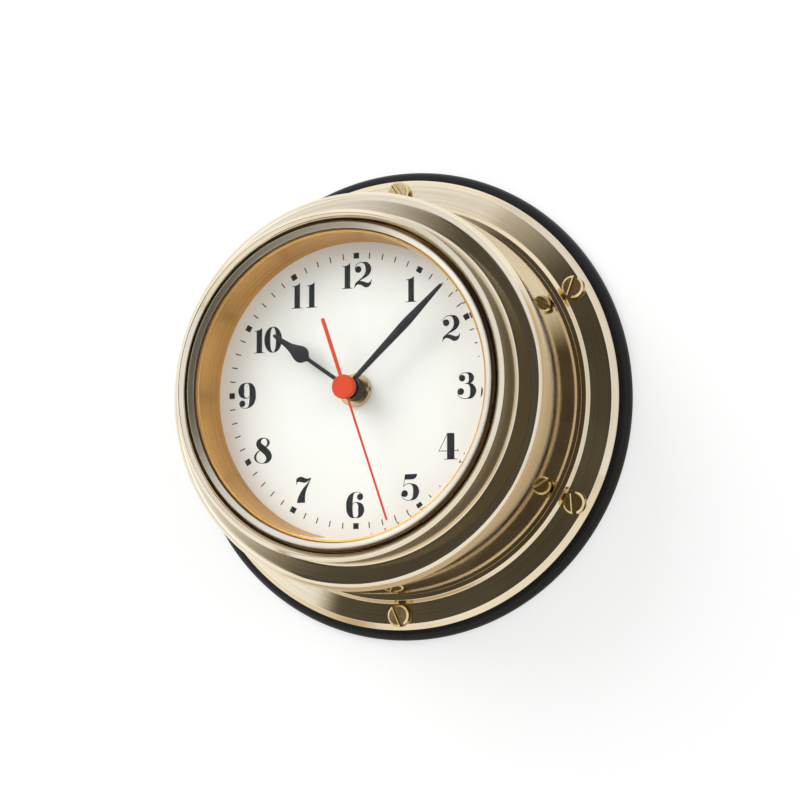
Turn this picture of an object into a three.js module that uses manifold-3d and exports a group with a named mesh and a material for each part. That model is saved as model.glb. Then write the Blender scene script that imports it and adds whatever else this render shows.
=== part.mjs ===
// A wall-hung ship's clock: a turned brass case on a black backing board, with a quartz movement inside.
// Millimetres, +Z up. The clock's axis is Y, the wall is the plane y = 0 and the glass looks along -Y.
// Most sizes along the axis are heights out from the wall, so that a height h lies at y = -h.
import * as THREE from "three";
import { mergeVertices } from "three/addons/utils/BufferGeometryUtils.js";
import Module from "manifold-3d";

const wasm = await Module();
wasm.setup();

// Clearances and how finely round things are cut
const CLEARANCE = 0.3;
const RUNNING_CLEARANCE = 0.15;
const CUT_MARGIN = 1;
const RING_SIDES = 40;
const PIPE_SIDES = 16;
const PIN_SIDES = 8;

// Case: flange, floor and neck in one turned shell, with its widths counted outwards from the neck
const NECK_RADIUS = 65.4;
const NECK_WALL = 2;
const FLOOR_WIDTH = 7.3;
const STEP_WIDTH = 1.2;
const STEP_HEIGHT = 1.5;
const FLANGE_WIDTH = 7.4;
const FLANGE_SLOPE_HEIGHT = 1.7;
const RIM_WIDTH = 2.6;
const RIM_HEIGHT = 2.6;
const FLANGE_WALL = 2;
const FLANGE_FOOT_WIDTH = 4.4;
const FLANGE_FOOT_WALL = 1.4;
const DIAL_HEIGHT = 50.7;
const DIAL_THICKNESS = 1;
const DIAL_LEDGE_WIDTH = 5.9;
const DIAL_LEDGE_THICKNESS = 2;
const NECK_RIM_RISE = 1.6;

// Backing board and the rubber band round its edge
const BOARD_THICKNESS = 5.6;
const BOARD_SETBACK = 1;
const BOARD_REACH = 11.4;
const BAND_SLOPE = 3.1;
const BAND_SEAM = 0.4;

// Bezel: the drum with its front, a hollow turned piece whose collar screws over the neck
const BEZEL_FIT = 0.4;
const BEZEL_SETBACK = 1.7;
const BEZEL_FLARE = 0.7;
const BEZEL_WALL = 2;
const BEZEL_WALL_DROP = 0.7;
const BEZEL_COLLAR_LENGTH = 15;
const BEZEL_SHOULDER_DROP = 3.6;
const BEZEL_SHOULDER_RISE = 4.9;
const BEZEL_TRACK_WIDTH = 4.5;
const BEZEL_COVE_WIDTH = 1.5;
const BEZEL_COVE_RISE = 1.5;
const NOSE_FLARE = 0.4;
const BEZEL_NOSE_RISE = 12.8;
const NOSE_ROOF = 1.4;
const LIP_OUTER_WIDTH = 1.5;
const LIP_RISE = 1.5;
const LIP_INNER_WIDTH = 1.7;
const LIP_INNER_DROP = 1.7;

// Inner ring, gasket, glass and the ring that holds the glass
const INNER_RING_SETBACK = 4.3;
const INNER_RING_TAPER = 0.9;
const INNER_RING_LENGTH = 16;
const INNER_RING_WALL = 1.4;
const INNER_RING_LIP = 0.9;
const INNER_RING_FOOT = 1.5;
const GASKET_THICKNESS = 1;
const GASKET_STEP = 0.6;
const SEAT_THICKNESS = 2;
const GLASS_PLAY = 0.7;
const GLASS_EDGE_THICKNESS = 2;
const GLASS_THICKNESS = 2.4;
const GLASS_LAND_WIDTH = 2.9;
const GLASS_BEVEL_WIDTH = 1.5;
const RETAINER_GAP = 1.7;
const RETAINER_HEIGHT = 1.2;
const RETAINER_INNER_HEIGHT = 0.25;

// Six slotted screws through the flange
const SCREW_COUNT = 6;
const SCREW_INSET = 3;
const SCREW_HEAD_RADIUS = 4.1;
const SCREW_HEAD_HEIGHT = 3;
const SCREW_SHANK_RADIUS = 2.4;
const SCREW_END_HEIGHT = 1.5;
const SCREW_HEAD_CHAMFER = 0.7;
const SCREW_SLOT_WIDTH = 1.6;
const SCREW_SLOT_DEPTH = 1.3;
const SCREW_SLOT_ANGLES = [146, 20, 176, 156, 64, 118];

// Hanger plate with its keyhole, across the top of the board's opening
const HANGER_DROP = 8;
const HANGER_OVERLAP = 10.3;
const HANGER_WIDTH = 14;
const HANGER_CORNER = 2;
const HANGER_THICKNESS = 1.5;
const HANGER_INSET = 0.2;
const KEYHOLE_RADIUS = 4.5;
const KEYHOLE_SLOT_WIDTH = 4.6;
const KEYHOLE_SLOT_RISE = 7;
const KEYHOLE_MARGIN = 0.5;
const HANGER_SCREW_INSET = 4;
const HANGER_SCREW_HEAD_RADIUS = 2.8;
const HANGER_SCREW_HEAD_HEIGHT = 1.1;
const HANGER_SCREW_SHANK_RADIUS = 1.3;
const HANGER_SCREW_LENGTH = 4;

// Movement box, clamped to the dial by its bush and nut
const WASHER_THICKNESS = 1;
const WASHER_RADIUS = 8;
const BOX_WALL = 1;
const BOX_CORNER = 4;
const BUSH_WALL = 0.9;
const BUSH_FLANGE_WIDTH = 1.7;
const BUSH_FLANGE_THICKNESS = 0.6;
const BUSH_LENGTH = 2.4;
const NUT_WIDTH = 2.2;
const NUT_HEIGHT = 2.2;
const NUT_SLOT_WIDTH = 1.4;
const NUT_SLOT_DEPTH = 1.1;

// Battery, an AA cell, in its bay at the bottom of the box
const BATTERY_RADIUS = 7.1;
const BATTERY_BODY_LENGTH = 49.3;
const BATTERY_NUB_RADIUS = 2.6;
const BATTERY_NUB_LENGTH = 1.2;
const BATTERY_SHIFT = -0.1;
const BATTERY_PLAY = 0.8;
const BAY_CLEARANCE = 0.7;
const BAY_RIB = 1;
const CONTACT_ROOM = 1.75;
const CONTACT_THICKNESS = 0.5;
const CONTACT_WIDTH = 9;
const CONTACT_HEIGHT = 10;

// Wheels: teeth on each, and the module of each meshing pair
const ROTOR_LEAVES = 6;
const FIFTH_TEETH = 36;
const FIFTH_LEAVES = 6;
const SECONDS_TEETH = 30;
const SECONDS_LEAVES = 6;
const THIRD_TEETH = 45;
const THIRD_LEAVES = 6;
const CENTRE_TEETH = 48;
const CANNON_LEAVES = 10;
const MINUTE_TEETH = 30;
const MINUTE_LEAVES = 8;
const HOUR_TEETH = 32;
const SETTING_LEAVES = 14;
const ROTOR_MODULE = 0.4;
const FIFTH_MODULE = 0.52;
const THIRD_MODULE = 0.36;
const MOTION_MODULE = 0.42;

// Shape of a tooth, in modules, and in shares of the pitch
const ADDENDUM = 0.8;
const DEDENDUM = 1.2;
const TOOTH_ROOT_SHARE = 0.48;
const TOOTH_TIP_SHARE = 0.16;

// Where the wheels stand, as directions in degrees, and how they are stacked
const THIRD_DIRECTION = 135;
const FIFTH_DIRECTION = 20;
const ROTOR_DIRECTION = 50;
const MINUTE_DIRECTION = 200;
const SETTING_DIRECTION = 170;
const FIRST_LAYER_GAP = 0.8;
const LAST_LAYER_GAP = 0.8;
const WHEEL_THICKNESS = 0.9;
const PINION_OVERLAP = 0.2;
const PIVOT_DEPTH = 0.5;
const PIVOT_PLAY = 0.1;
const ARBOR_RADIUS = 0.5;
const SECONDS_ARBOR_RADIUS = 0.6;
const PIPE_PLAY = 0.3;
const HOUR_PIPE_WALL = 0.6;
const CANNON_PIPE_WALL = 0.8;
const MINUTE_POST_RADIUS = 0.6;
const CLUTCH_CLEARANCE = 0.2;

// Motor, circuit and setting knob
const MAGNET_RADIUS = 3;
const MAGNET_LENGTH = 1.6;
const STATOR_THICKNESS = 1;
const STATOR_RING_WALL = 2.6;
const STATOR_GAP = 0.5;
const STATOR_WAIST = 10;
const COIL_RADIUS = 3.6;
const COIL_LENGTH = 20;
const COIL_BORE_RADIUS = 2;
const COIL_CHEEK = 1;
const COIL_CHEEK_RISE = 0.5;
const COIL_SIDE_GAP = 1.5;
const COIL_TOP_GAP = 1.9;
const CORE_WIDTH = 3.2;
const CORE_OVERHANG = 3.5;
const CORE_THICKNESS = 1;
const CHIP_SIZE = 6;
const CHIP_HEIGHT = 1;
const CIRCUIT_LENGTH = 23;
const CIRCUIT_WIDTH = 15;
const CIRCUIT_THICKNESS = 1;
const CRYSTAL_RADIUS = 1;
const CRYSTAL_LENGTH = 6;
const KNOB_RADIUS = 6;
const KNOB_LENGTH = 6;
const KNOB_SHAFT_RADIUS = 1.5;
const KNOB_FLUTES = 14;
const KNOB_FLUTE_DEPTH = 0.6;

// Hands, and the time that they show
const HOUR_ANGLE = 304.9;
const MINUTE_ANGLE = 45.9;
const SECOND_ANGLE = 161.2;
const HAND_THICKNESS = 0.7;
const HOUR_HAND_LENGTH = 35.6;
const HOUR_STEM_WIDTH = 1.4;
const HOUR_BULB_CENTRE = 22.5;
const HOUR_BULB_RADIUS = 3;
const HOUR_BULB_SHOULDER = 25;
const HOUR_TIP_WIDTH = 1.1;
const HOUR_BOSS_RADIUS = 4;
const HOUR_BOSS_LENGTH = 4.5;
const MINUTE_HAND_GAP = 3.2;
const MINUTE_ROOT_WIDTH = 1.5;
const MINUTE_WIDEST = 3.1;
const MINUTE_WIDEST_AT = 31;
const MINUTE_TIP_WIDTH = 1.1;
const MINUTE_BOSS_RADIUS = 3.4;
const MINUTE_BOSS_LENGTH = 1.8;
const SECOND_HAND_GAP = 3;
const SECOND_TAIL_LENGTH = 26.2;
const SECOND_TIP_WIDTH = 0.7;
const SECOND_TAIL_WIDTH = 1.3;
const SECOND_THICKNESS = 0.5;
const SECOND_BOSS_RADIUS = 4.3;
const SECOND_BOSS_LENGTH = 2.1;
const HAND_GAP = 0.4;

// Radii that follow from the sizes above
const NECK_BORE = NECK_RADIUS - NECK_WALL;
const FLOOR_RADIUS = NECK_RADIUS + FLOOR_WIDTH;
const FLANGE_SLOPE_RADIUS = FLOOR_RADIUS + STEP_WIDTH;
const RIM_INNER_RADIUS = FLANGE_SLOPE_RADIUS + FLANGE_WIDTH;
const FLANGE_RADIUS = RIM_INNER_RADIUS + RIM_WIDTH;
const SCREW_CIRCLE_RADIUS = RIM_INNER_RADIUS - SCREW_INSET;
const BOARD_RADIUS = FLANGE_RADIUS - BOARD_SETBACK;
const BOARD_OPENING_RADIUS = NECK_BORE - BOARD_REACH;
const BAND_RADIUS = FLANGE_RADIUS + BAND_SLOPE;
const BEZEL_FIT_RADIUS = NECK_RADIUS + BEZEL_FIT;
const BEZEL_FOOT_RADIUS = FLOOR_RADIUS - BEZEL_SETBACK;
const BEZEL_RADIUS = BEZEL_FOOT_RADIUS + BEZEL_FLARE;
const BEZEL_SHOULDER_RADIUS = BEZEL_RADIUS - BEZEL_SHOULDER_DROP;
const BEZEL_TRACK_RADIUS = BEZEL_SHOULDER_RADIUS - BEZEL_TRACK_WIDTH;
const NOSE_FOOT_RADIUS = BEZEL_TRACK_RADIUS - BEZEL_COVE_WIDTH;
const BEZEL_NOSE_RADIUS = NOSE_FOOT_RADIUS + NOSE_FLARE;
const LIP_RADIUS = BEZEL_NOSE_RADIUS - LIP_OUTER_WIDTH;
const BEZEL_BORE_RADIUS = LIP_RADIUS - LIP_INNER_WIDTH;
const GLASS_RADIUS = BEZEL_BORE_RADIUS - GLASS_PLAY;
const RETAINER_BORE = GLASS_RADIUS - GLASS_LAND_WIDTH;
const RETAINER_RADIUS = BEZEL_BORE_RADIUS - RETAINER_GAP;
const INNER_RING_FRONT_RADIUS = GLASS_RADIUS - INNER_RING_SETBACK;
const INNER_RING_RADIUS = INNER_RING_FRONT_RADIUS - INNER_RING_TAPER;
const CANNON_PIPE_BORE = SECONDS_ARBOR_RADIUS + PIPE_PLAY;
const CANNON_PIPE_RADIUS = CANNON_PIPE_BORE + CANNON_PIPE_WALL;
const HOUR_PIPE_BORE = CANNON_PIPE_RADIUS + PIPE_PLAY;
const HOUR_PIPE_RADIUS = HOUR_PIPE_BORE + HOUR_PIPE_WALL;
const BUSH_BORE_RADIUS = HOUR_PIPE_RADIUS + PIPE_PLAY;
const BUSH_RADIUS = BUSH_BORE_RADIUS + BUSH_WALL;
const BUSH_FLANGE_RADIUS = BUSH_RADIUS + BUSH_FLANGE_WIDTH;
const NUT_RADIUS = BUSH_RADIUS + NUT_WIDTH;

// Lengths and places that follow
const HANGER_CENTRE_Z = BOARD_OPENING_RADIUS - HANGER_DROP;
const OPENING_HALF_CHORD = Math.sqrt(BOARD_OPENING_RADIUS ** 2 - HANGER_CENTRE_Z ** 2);
const HANGER_LENGTH = 2 * (OPENING_HALF_CHORD + HANGER_OVERLAP);
const BATTERY_LENGTH = BATTERY_BODY_LENGTH + BATTERY_NUB_LENGTH;
const BOX_SIDE = BATTERY_LENGTH + 2 * CONTACT_ROOM + 2 * BOX_WALL;
const BOX_DEPTH = 2 * BATTERY_RADIUS + BATTERY_PLAY + BOX_WALL;
const COIL_CENTRE_X = BOX_SIDE / 2 - BOX_WALL - COIL_SIDE_GAP - CORE_OVERHANG - COIL_LENGTH / 2;
const COIL_CENTRE_Z = BOX_SIDE / 2 - BOX_WALL - COIL_TOP_GAP - COIL_RADIUS;
const MINUTE_HAND_LENGTH = INNER_RING_RADIUS - MINUTE_HAND_GAP;
const SECOND_HAND_LENGTH = INNER_RING_RADIUS - SECOND_HAND_GAP;

// Heights that follow
const FLANGE_BACK = BOARD_THICKNESS;
const RIM_TOP = FLANGE_BACK + RIM_HEIGHT;
const SCREW_SEAT_HEIGHT = RIM_TOP + (FLANGE_SLOPE_HEIGHT * SCREW_INSET) / FLANGE_WIDTH;
const SLOPE_TOP = RIM_TOP + FLANGE_SLOPE_HEIGHT;
const STEP_TOP = SLOPE_TOP + STEP_HEIGHT;
const DIAL_BACK = DIAL_HEIGHT - DIAL_THICKNESS;
const NECK_RIM = DIAL_HEIGHT + NECK_RIM_RISE;
const WALL_TOP = DIAL_HEIGHT - BEZEL_WALL_DROP;
const SHOULDER_HEIGHT = WALL_TOP + BEZEL_SHOULDER_RISE;
const NOSE_FOOT_HEIGHT = SHOULDER_HEIGHT + BEZEL_COVE_RISE;
const NOSE_HEIGHT = NOSE_FOOT_HEIGHT + BEZEL_NOSE_RISE;
const LIP_HEIGHT = NOSE_HEIGHT + LIP_RISE;
const INNER_RING_TOP = DIAL_HEIGHT + INNER_RING_LENGTH;
const GASKET_SEAT = INNER_RING_TOP - GASKET_STEP;
const GLASS_BACK = GASKET_SEAT + GASKET_THICKNESS;
const GLASS_LAND = GLASS_BACK + GLASS_EDGE_THICKNESS;
const BOX_FRONT = DIAL_BACK - WASHER_THICKNESS;
const BOX_INNER_FRONT = BOX_FRONT - BOX_WALL;
const BOX_BACK = BOX_FRONT - BOX_DEPTH;
const BOX_INNER_BACK = BOX_BACK + BOX_WALL;
const BATTERY_HEIGHT = (BOX_INNER_FRONT + BOX_BACK) / 2 + BATTERY_SHIFT;
const BATTERY_Z = -BOX_SIDE / 2 + BOX_WALL + BAY_CLEARANCE + BATTERY_RADIUS;
const RIB_BOTTOM = BATTERY_Z + BATTERY_RADIUS + BAY_CLEARANCE;
const BUSH_FRONT = DIAL_HEIGHT + BUSH_LENGTH;
const HOUR_HAND_TOP = BUSH_FRONT + HAND_GAP + HOUR_BOSS_LENGTH;
const MINUTE_HAND_TOP = HOUR_HAND_TOP + HAND_GAP + MINUTE_BOSS_LENGTH;
const SECOND_BOSS_BACK = MINUTE_HAND_TOP + 2 * HAND_GAP;
const SECOND_BOSS_TOP = SECOND_BOSS_BACK + SECOND_BOSS_LENGTH;

// Front faces of the layers of wheels, from the dial towards the wall
const LAYER_ROOM = BOX_INNER_FRONT - BOX_INNER_BACK - FIRST_LAYER_GAP - LAST_LAYER_GAP;
const LAYER_PITCH = (LAYER_ROOM - MAGNET_LENGTH) / 6;
const layerFront = (number) => BOX_INNER_FRONT - FIRST_LAYER_GAP - number * LAYER_PITCH;
const HOUR_LAYER = layerFront(0);
const MOTION_LAYER = layerFront(1);
const CENTRE_LAYER = layerFront(2);
const THIRD_LAYER = layerFront(3);
const SECONDS_LAYER = layerFront(4);
const FIFTH_LAYER = layerFront(5);
const MAGNET_FRONT = layerFront(6);
const PIVOT_BACK = BOX_INNER_BACK - PIVOT_DEPTH + PIVOT_PLAY;
const PIVOT_FRONT = BOX_INNER_FRONT + PIVOT_DEPTH - PIVOT_PLAY;

// Finishes
function finish(color, roughness, metalness) {
  return new THREE.MeshStandardMaterial({ color, roughness, metalness });
}
const BRASS = finish(0xb39a72, 0.28, 1);
const SCREW_BRASS = finish(0xc2a25a, 0.3, 1);
const GOLD_WALL = finish(0x9a7650, 0.35, 1);
const BLACK_BOARD = finish(0x1f1f20, 0.7, 0);
const BLACK_RUBBER = finish(0x222224, 0.6, 0);
const WHITE_DIAL = finish(0xecebe7, 0.55, 0);
const CHARCOAL = finish(0x343639, 0.5, 0);
const RED = finish(0xdc4628, 0.45, 0);
const STEEL = finish(0xa8a9aa, 0.35, 1);
const BLACK_PLASTIC = finish(0x18191a, 0.55, 0);
const WHITE_PLASTIC = finish(0xdedcd4, 0.5, 0);
const COPPER = finish(0xb06a3a, 0.4, 1);
const GREEN_BOARD = finish(0x1f5a38, 0.6, 0);
const BATTERY_WRAP = finish(0x3a5a86, 0.4, 0);
const GLASS = new THREE.MeshStandardMaterial({
  color: 0xf4f7f6,
  roughness: 0.03,
  metalness: 0,
  transparent: true,
  opacity: 0.25,
});

const part = new THREE.Group();
const radians = THREE.MathUtils.degToRad;

// A closed geometry as a solid that can be joined and cut
function solid(geometry) {
  const bare = geometry.index ? geometry.toNonIndexed() : geometry.clone();
  bare.deleteAttribute("normal");
  bare.deleteAttribute("uv");
  const merged = mergeVertices(bare, 1e-4);
  const triVerts = new Uint32Array(merged.index.array);
  const vertProperties = merged.attributes.position.array;
  return new wasm.Manifold(new wasm.Mesh({ numProp: 3, vertProperties, triVerts }));
}

// A solid back as a geometry
function geometryOf(body) {
  const made = body.getMesh();
  const stride = made.numProp;
  const position = new Float32Array(made.numVert * 3);
  for (let i = 0; i < made.numVert; i++) {
    position.set(made.vertProperties.subarray(i * stride, i * stride + 3), i * 3);
  }
  const geometry = new THREE.BufferGeometry();
  geometry.setAttribute("position", new THREE.BufferAttribute(position, 3));
  geometry.setIndex(new THREE.BufferAttribute(made.triVerts, 1));
  const faceted = geometry.toNonIndexed();
  faceted.computeVertexNormals();
  return faceted;
}

// Joins the first shape with the others
function joined(first, ...others) {
  return geometryOf(others.reduce((body, other) => body.add(solid(other)), solid(first)));
}

// Cuts the others out of the first shape
function cut(first, ...others) {
  return geometryOf(others.reduce((body, other) => body.subtract(solid(other)), solid(first)));
}

// A ring or a disc turned about the clock's axis from a closed outline of [radius, height] points
function turned(outline, sides = RING_SIDES) {
  const points = outline.map(([radius, height]) => new THREE.Vector2(radius, -height));
  const area = THREE.ShapeUtils.area(points);
  if (area < 0) points.reverse();
  const onAxis = outline.some(([radius]) => radius === 0);
  if (!onAxis) {
    points.push(points[0].clone());
    return new THREE.LatheGeometry(points, sides);
  }
  while (!(points[0].x === 0 && points[points.length - 1].x === 0)) points.push(points.shift());
  return new THREE.LatheGeometry(points, sides);
}

// A plain tube or rod about the clock's axis, from height low to height high
function pipe(low, high, radius, bore = 0, sides = PIPE_SIDES) {
  const outline = [
    [bore, low],
    [radius, low],
    [radius, high],
    [bore, high],
  ];
  return turned(outline, sides);
}

// A flat shape drawn as seen from the front, x to the right and z up, from height low forwards
function plate(shape, low, thickness, curveSegments = 8) {
  const geometry = new THREE.ExtrudeGeometry(shape, { depth: thickness, bevelEnabled: false, curveSegments });
  return geometry.rotateX(Math.PI / 2).translate(0, -low, 0);
}

// A block between two heights, centred at x and z
function block(width, rise, low, high, x = 0, z = 0) {
  return new THREE.BoxGeometry(width, high - low, rise).translate(x, -(low + high) / 2, z);
}

// A rectangle with round corners, about the point x, z
function roundedRectangle(width, rise, corner, x = 0, z = 0) {
  const shape = new THREE.Shape();
  const left = x - width / 2;
  const right = x + width / 2;
  const bottom = z - rise / 2;
  const top = z + rise / 2;
  shape.moveTo(left + corner, bottom);
  shape.lineTo(right - corner, bottom);
  shape.absarc(right - corner, bottom + corner, corner, -Math.PI / 2, 0);
  shape.lineTo(right, top - corner);
  shape.absarc(right - corner, top - corner, corner, 0, Math.PI / 2);
  shape.lineTo(left + corner, top);
  shape.absarc(left + corner, top - corner, corner, Math.PI / 2, Math.PI);
  shape.lineTo(left, bottom + corner);
  shape.absarc(left + corner, bottom + corner, corner, Math.PI, Math.PI * 1.5);
  return shape;
}

// Adds a named piece to a group
function add(group, name, geometry, material) {
  const mesh = new THREE.Mesh(geometry, material);
  mesh.name = name;
  group.add(mesh);
  return mesh;
}

// Points along a quarter of an ellipse, from its start to its end, both left to the caller
function quarter(count, point) {
  return Array.from({ length: count }, (_, i) => point(((i + 1) / (count + 1)) * (Math.PI / 2)));
}

// A point on the screw circle, with +z as the first place
function screwPlace(number) {
  const turn = (number / SCREW_COUNT) * 2 * Math.PI;
  return { x: SCREW_CIRCLE_RADIUS * Math.sin(turn), z: SCREW_CIRCLE_RADIUS * Math.cos(turn) };
}

// The holes that the six screws pass through, from height low to height high
function screwHoles(radius, low, high, sides = PIN_SIDES) {
  return Array.from({ length: SCREW_COUNT }, (_, i) => {
    const { x, z } = screwPlace(i);
    return pipe(low, high, radius, 0, sides).translate(x, 0, z);
  });
}

// Backing board with its access opening, screw holes and the pocket for the hanger plate
function backingBoard() {
  const ring = pipe(0, BOARD_THICKNESS, BOARD_RADIUS, BOARD_OPENING_RADIUS, RING_SIDES);
  const holeFloor = SCREW_END_HEIGHT - CLEARANCE;
  const pocketTop = HANGER_INSET + HANGER_THICKNESS;
  const pocket = block(
    HANGER_LENGTH + 2 * CLEARANCE,
    HANGER_WIDTH + 2 * CLEARANCE,
    -CUT_MARGIN,
    pocketTop,
    0,
    HANGER_CENTRE_Z,
  );
  const pilots = hangerScrewPlaces().map((x) => {
    const radius = HANGER_SCREW_SHANK_RADIUS + CLEARANCE;
    const top = HANGER_INSET + HANGER_SCREW_LENGTH + CLEARANCE;
    return pipe(-CUT_MARGIN, top, radius, 0, PIN_SIDES).translate(x, 0, HANGER_CENTRE_Z);
  });
  const radius = SCREW_SHANK_RADIUS + CLEARANCE;
  return cut(ring, pocket, ...pilots, ...screwHoles(radius, holeFloor, BOARD_THICKNESS + CUT_MARGIN));
}

// Rubber band round the board, butted at the bottom
function edgeBand() {
  const inner = BOARD_RADIUS + CLEARANCE;
  const outline = [
    [inner, 0],
    [BAND_RADIUS - BAND_SLOPE / 5, 0],
    [BAND_RADIUS, BOARD_THICKNESS / 8],
    [BAND_RADIUS, BOARD_THICKNESS / 3],
    [BAND_RADIUS - BAND_SLOPE / 4, (BOARD_THICKNESS * 2) / 3],
    [FLANGE_RADIUS, BOARD_THICKNESS],
    [inner, BOARD_THICKNESS],
  ];
  const reach = BAND_RADIUS - inner + 2 * CUT_MARGIN;
  const middle = -(BAND_RADIUS + inner) / 2;
  const seam = block(BAND_SEAM, reach, -CUT_MARGIN, BOARD_THICKNESS + CUT_MARGIN, 0, middle);
  return cut(turned(outline), seam);
}

// Case: flange, floor, neck, and the ledge inside that the dial rests on
function caseBody() {
  const footInner = FLANGE_RADIUS - FLANGE_FOOT_WIDTH;
  const ledgeRadius = NECK_BORE - DIAL_LEDGE_WIDTH;
  const outline = [
    [FLANGE_RADIUS, FLANGE_BACK],
    [RIM_INNER_RADIUS, RIM_TOP],
    [FLANGE_SLOPE_RADIUS, SLOPE_TOP],
    [FLOOR_RADIUS, STEP_TOP],
    [NECK_RADIUS, STEP_TOP],
    [NECK_RADIUS, NECK_RIM],
    [NECK_BORE, NECK_RIM],
    [NECK_BORE, DIAL_BACK],
    [ledgeRadius, DIAL_BACK],
    [ledgeRadius, DIAL_BACK - DIAL_LEDGE_THICKNESS],
    [NECK_BORE, DIAL_BACK - DIAL_LEDGE_THICKNESS],
    [NECK_BORE, STEP_TOP - FLANGE_WALL],
    [FLANGE_SLOPE_RADIUS - FLANGE_WALL, SLOPE_TOP - FLANGE_WALL],
    [footInner, RIM_TOP - FLANGE_FOOT_WALL],
    [footInner, FLANGE_BACK],
  ];
  const holes = screwHoles(SCREW_SHANK_RADIUS + CLEARANCE, FLANGE_BACK - CUT_MARGIN, STEP_TOP + CUT_MARGIN);
  const top = STEP_TOP + CUT_MARGIN;
  const seats = screwHoles(SCREW_HEAD_RADIUS + CLEARANCE, SCREW_SEAT_HEIGHT, top, PIPE_SIDES);
  return cut(turned(outline), ...holes, ...seats);
}

// Bezel: the drum's straight wall, a round shoulder, a flat track, a small cove, a nose and its lip
function bezel() {
  const shoulder = quarter(2, (t) => [
    BEZEL_SHOULDER_RADIUS + BEZEL_SHOULDER_DROP * Math.cos(t),
    WALL_TOP + BEZEL_SHOULDER_RISE * Math.sin(t),
  ]);
  const cove = quarter(3, (t) => [
    BEZEL_TRACK_RADIUS - BEZEL_COVE_WIDTH * Math.sin(t),
    NOSE_FOOT_HEIGHT - BEZEL_COVE_RISE * Math.cos(t),
  ]);
  const ceiling = NECK_RIM + 2 * CLEARANCE;
  const collarEnd = ceiling - BEZEL_COLLAR_LENGTH;
  const outline = [
    [BEZEL_FOOT_RADIUS, STEP_TOP],
    [BEZEL_RADIUS, WALL_TOP],
    ...shoulder,
    [BEZEL_SHOULDER_RADIUS, SHOULDER_HEIGHT],
    [BEZEL_TRACK_RADIUS, SHOULDER_HEIGHT],
    ...cove,
    [NOSE_FOOT_RADIUS, NOSE_FOOT_HEIGHT],
    [BEZEL_NOSE_RADIUS, NOSE_HEIGHT],
    [LIP_RADIUS, LIP_HEIGHT],
    [BEZEL_BORE_RADIUS, LIP_HEIGHT - LIP_INNER_DROP],
    [BEZEL_BORE_RADIUS, NOSE_FOOT_HEIGHT - NOSE_ROOF],
    [NOSE_FOOT_RADIUS - BEZEL_FIT, ceiling],
    [BEZEL_FIT_RADIUS, ceiling],
    [BEZEL_FIT_RADIUS, collarEnd],
    [BEZEL_RADIUS - BEZEL_WALL, collarEnd - BEZEL_WALL],
    [BEZEL_FOOT_RADIUS - BEZEL_WALL, STEP_TOP],
  ];
  return turned(outline);
}

// Inner ring: the wall between dial and glass, with a foot on the dial and a seat for the gasket
function innerRing() {
  const lip = INNER_RING_FRONT_RADIUS + INNER_RING_LIP;
  const seatRadius = BEZEL_BORE_RADIUS - CLEARANCE;
  const footRadius = NECK_BORE - CLEARANCE;
  const wallAtSeat = INNER_RING_FRONT_RADIUS + INNER_RING_WALL;
  return turned([
    [INNER_RING_RADIUS, DIAL_HEIGHT],
    [INNER_RING_FRONT_RADIUS, INNER_RING_TOP],
    [lip, INNER_RING_TOP],
    [lip, GASKET_SEAT],
    [seatRadius, GASKET_SEAT],
    [seatRadius, GASKET_SEAT - SEAT_THICKNESS],
    [wallAtSeat, GASKET_SEAT - SEAT_THICKNESS],
    [INNER_RING_RADIUS + INNER_RING_WALL, DIAL_HEIGHT + INNER_RING_FOOT],
    [footRadius, DIAL_HEIGHT + INNER_RING_FOOT],
    [footRadius, DIAL_HEIGHT],
  ]);
}

// Gasket between the inner ring and the glass
function glassGasket() {
  const inner = INNER_RING_FRONT_RADIUS + INNER_RING_LIP + CLEARANCE;
  return pipe(GASKET_SEAT, GLASS_BACK, GLASS_RADIUS, inner, RING_SIDES);
}

// Thick flat glass with a wide bevel round its front
function glass() {
  return turned([
    [0, GLASS_BACK],
    [GLASS_RADIUS, GLASS_BACK],
    [GLASS_RADIUS, GLASS_LAND],
    [RETAINER_BORE, GLASS_LAND],
    [RETAINER_BORE - GLASS_BEVEL_WIDTH, GLASS_BACK + GLASS_THICKNESS],
    [0, GLASS_BACK + GLASS_THICKNESS],
  ]);
}

// Ring that holds the glass down, on the land round its bevel, with its top sloping inwards
function glassRetainingRing() {
  return turned([
    [RETAINER_BORE, GLASS_LAND],
    [RETAINER_RADIUS, GLASS_LAND],
    [RETAINER_RADIUS, GLASS_LAND + RETAINER_HEIGHT],
    [RETAINER_BORE, GLASS_LAND + RETAINER_INNER_HEIGHT],
  ]);
}

// A slotted cheese-head screw, standing on the clock's axis
function flangeScrew(slotAngle) {
  const top = SCREW_SEAT_HEIGHT + SCREW_HEAD_HEIGHT;
  const outline = [
    [0, SCREW_END_HEIGHT],
    [SCREW_SHANK_RADIUS, SCREW_END_HEIGHT],
    [SCREW_SHANK_RADIUS, SCREW_SEAT_HEIGHT],
    [SCREW_HEAD_RADIUS, SCREW_SEAT_HEIGHT],
    [SCREW_HEAD_RADIUS, top - SCREW_HEAD_CHAMFER],
    [SCREW_HEAD_RADIUS - SCREW_HEAD_CHAMFER, top],
    [0, top],
  ];
  const across = 2 * SCREW_HEAD_RADIUS + 2 * CUT_MARGIN;
  const slot = block(across, SCREW_SLOT_WIDTH, top - SCREW_SLOT_DEPTH, top + CUT_MARGIN);
  slot.rotateY(-radians(slotAngle));
  return cut(turned(outline, PIPE_SIDES), slot);
}

// The two places of the hanger plate's screws
function hangerScrewPlaces() {
  const reach = HANGER_LENGTH / 2 - HANGER_SCREW_INSET;
  return [-reach, reach];
}

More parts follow.
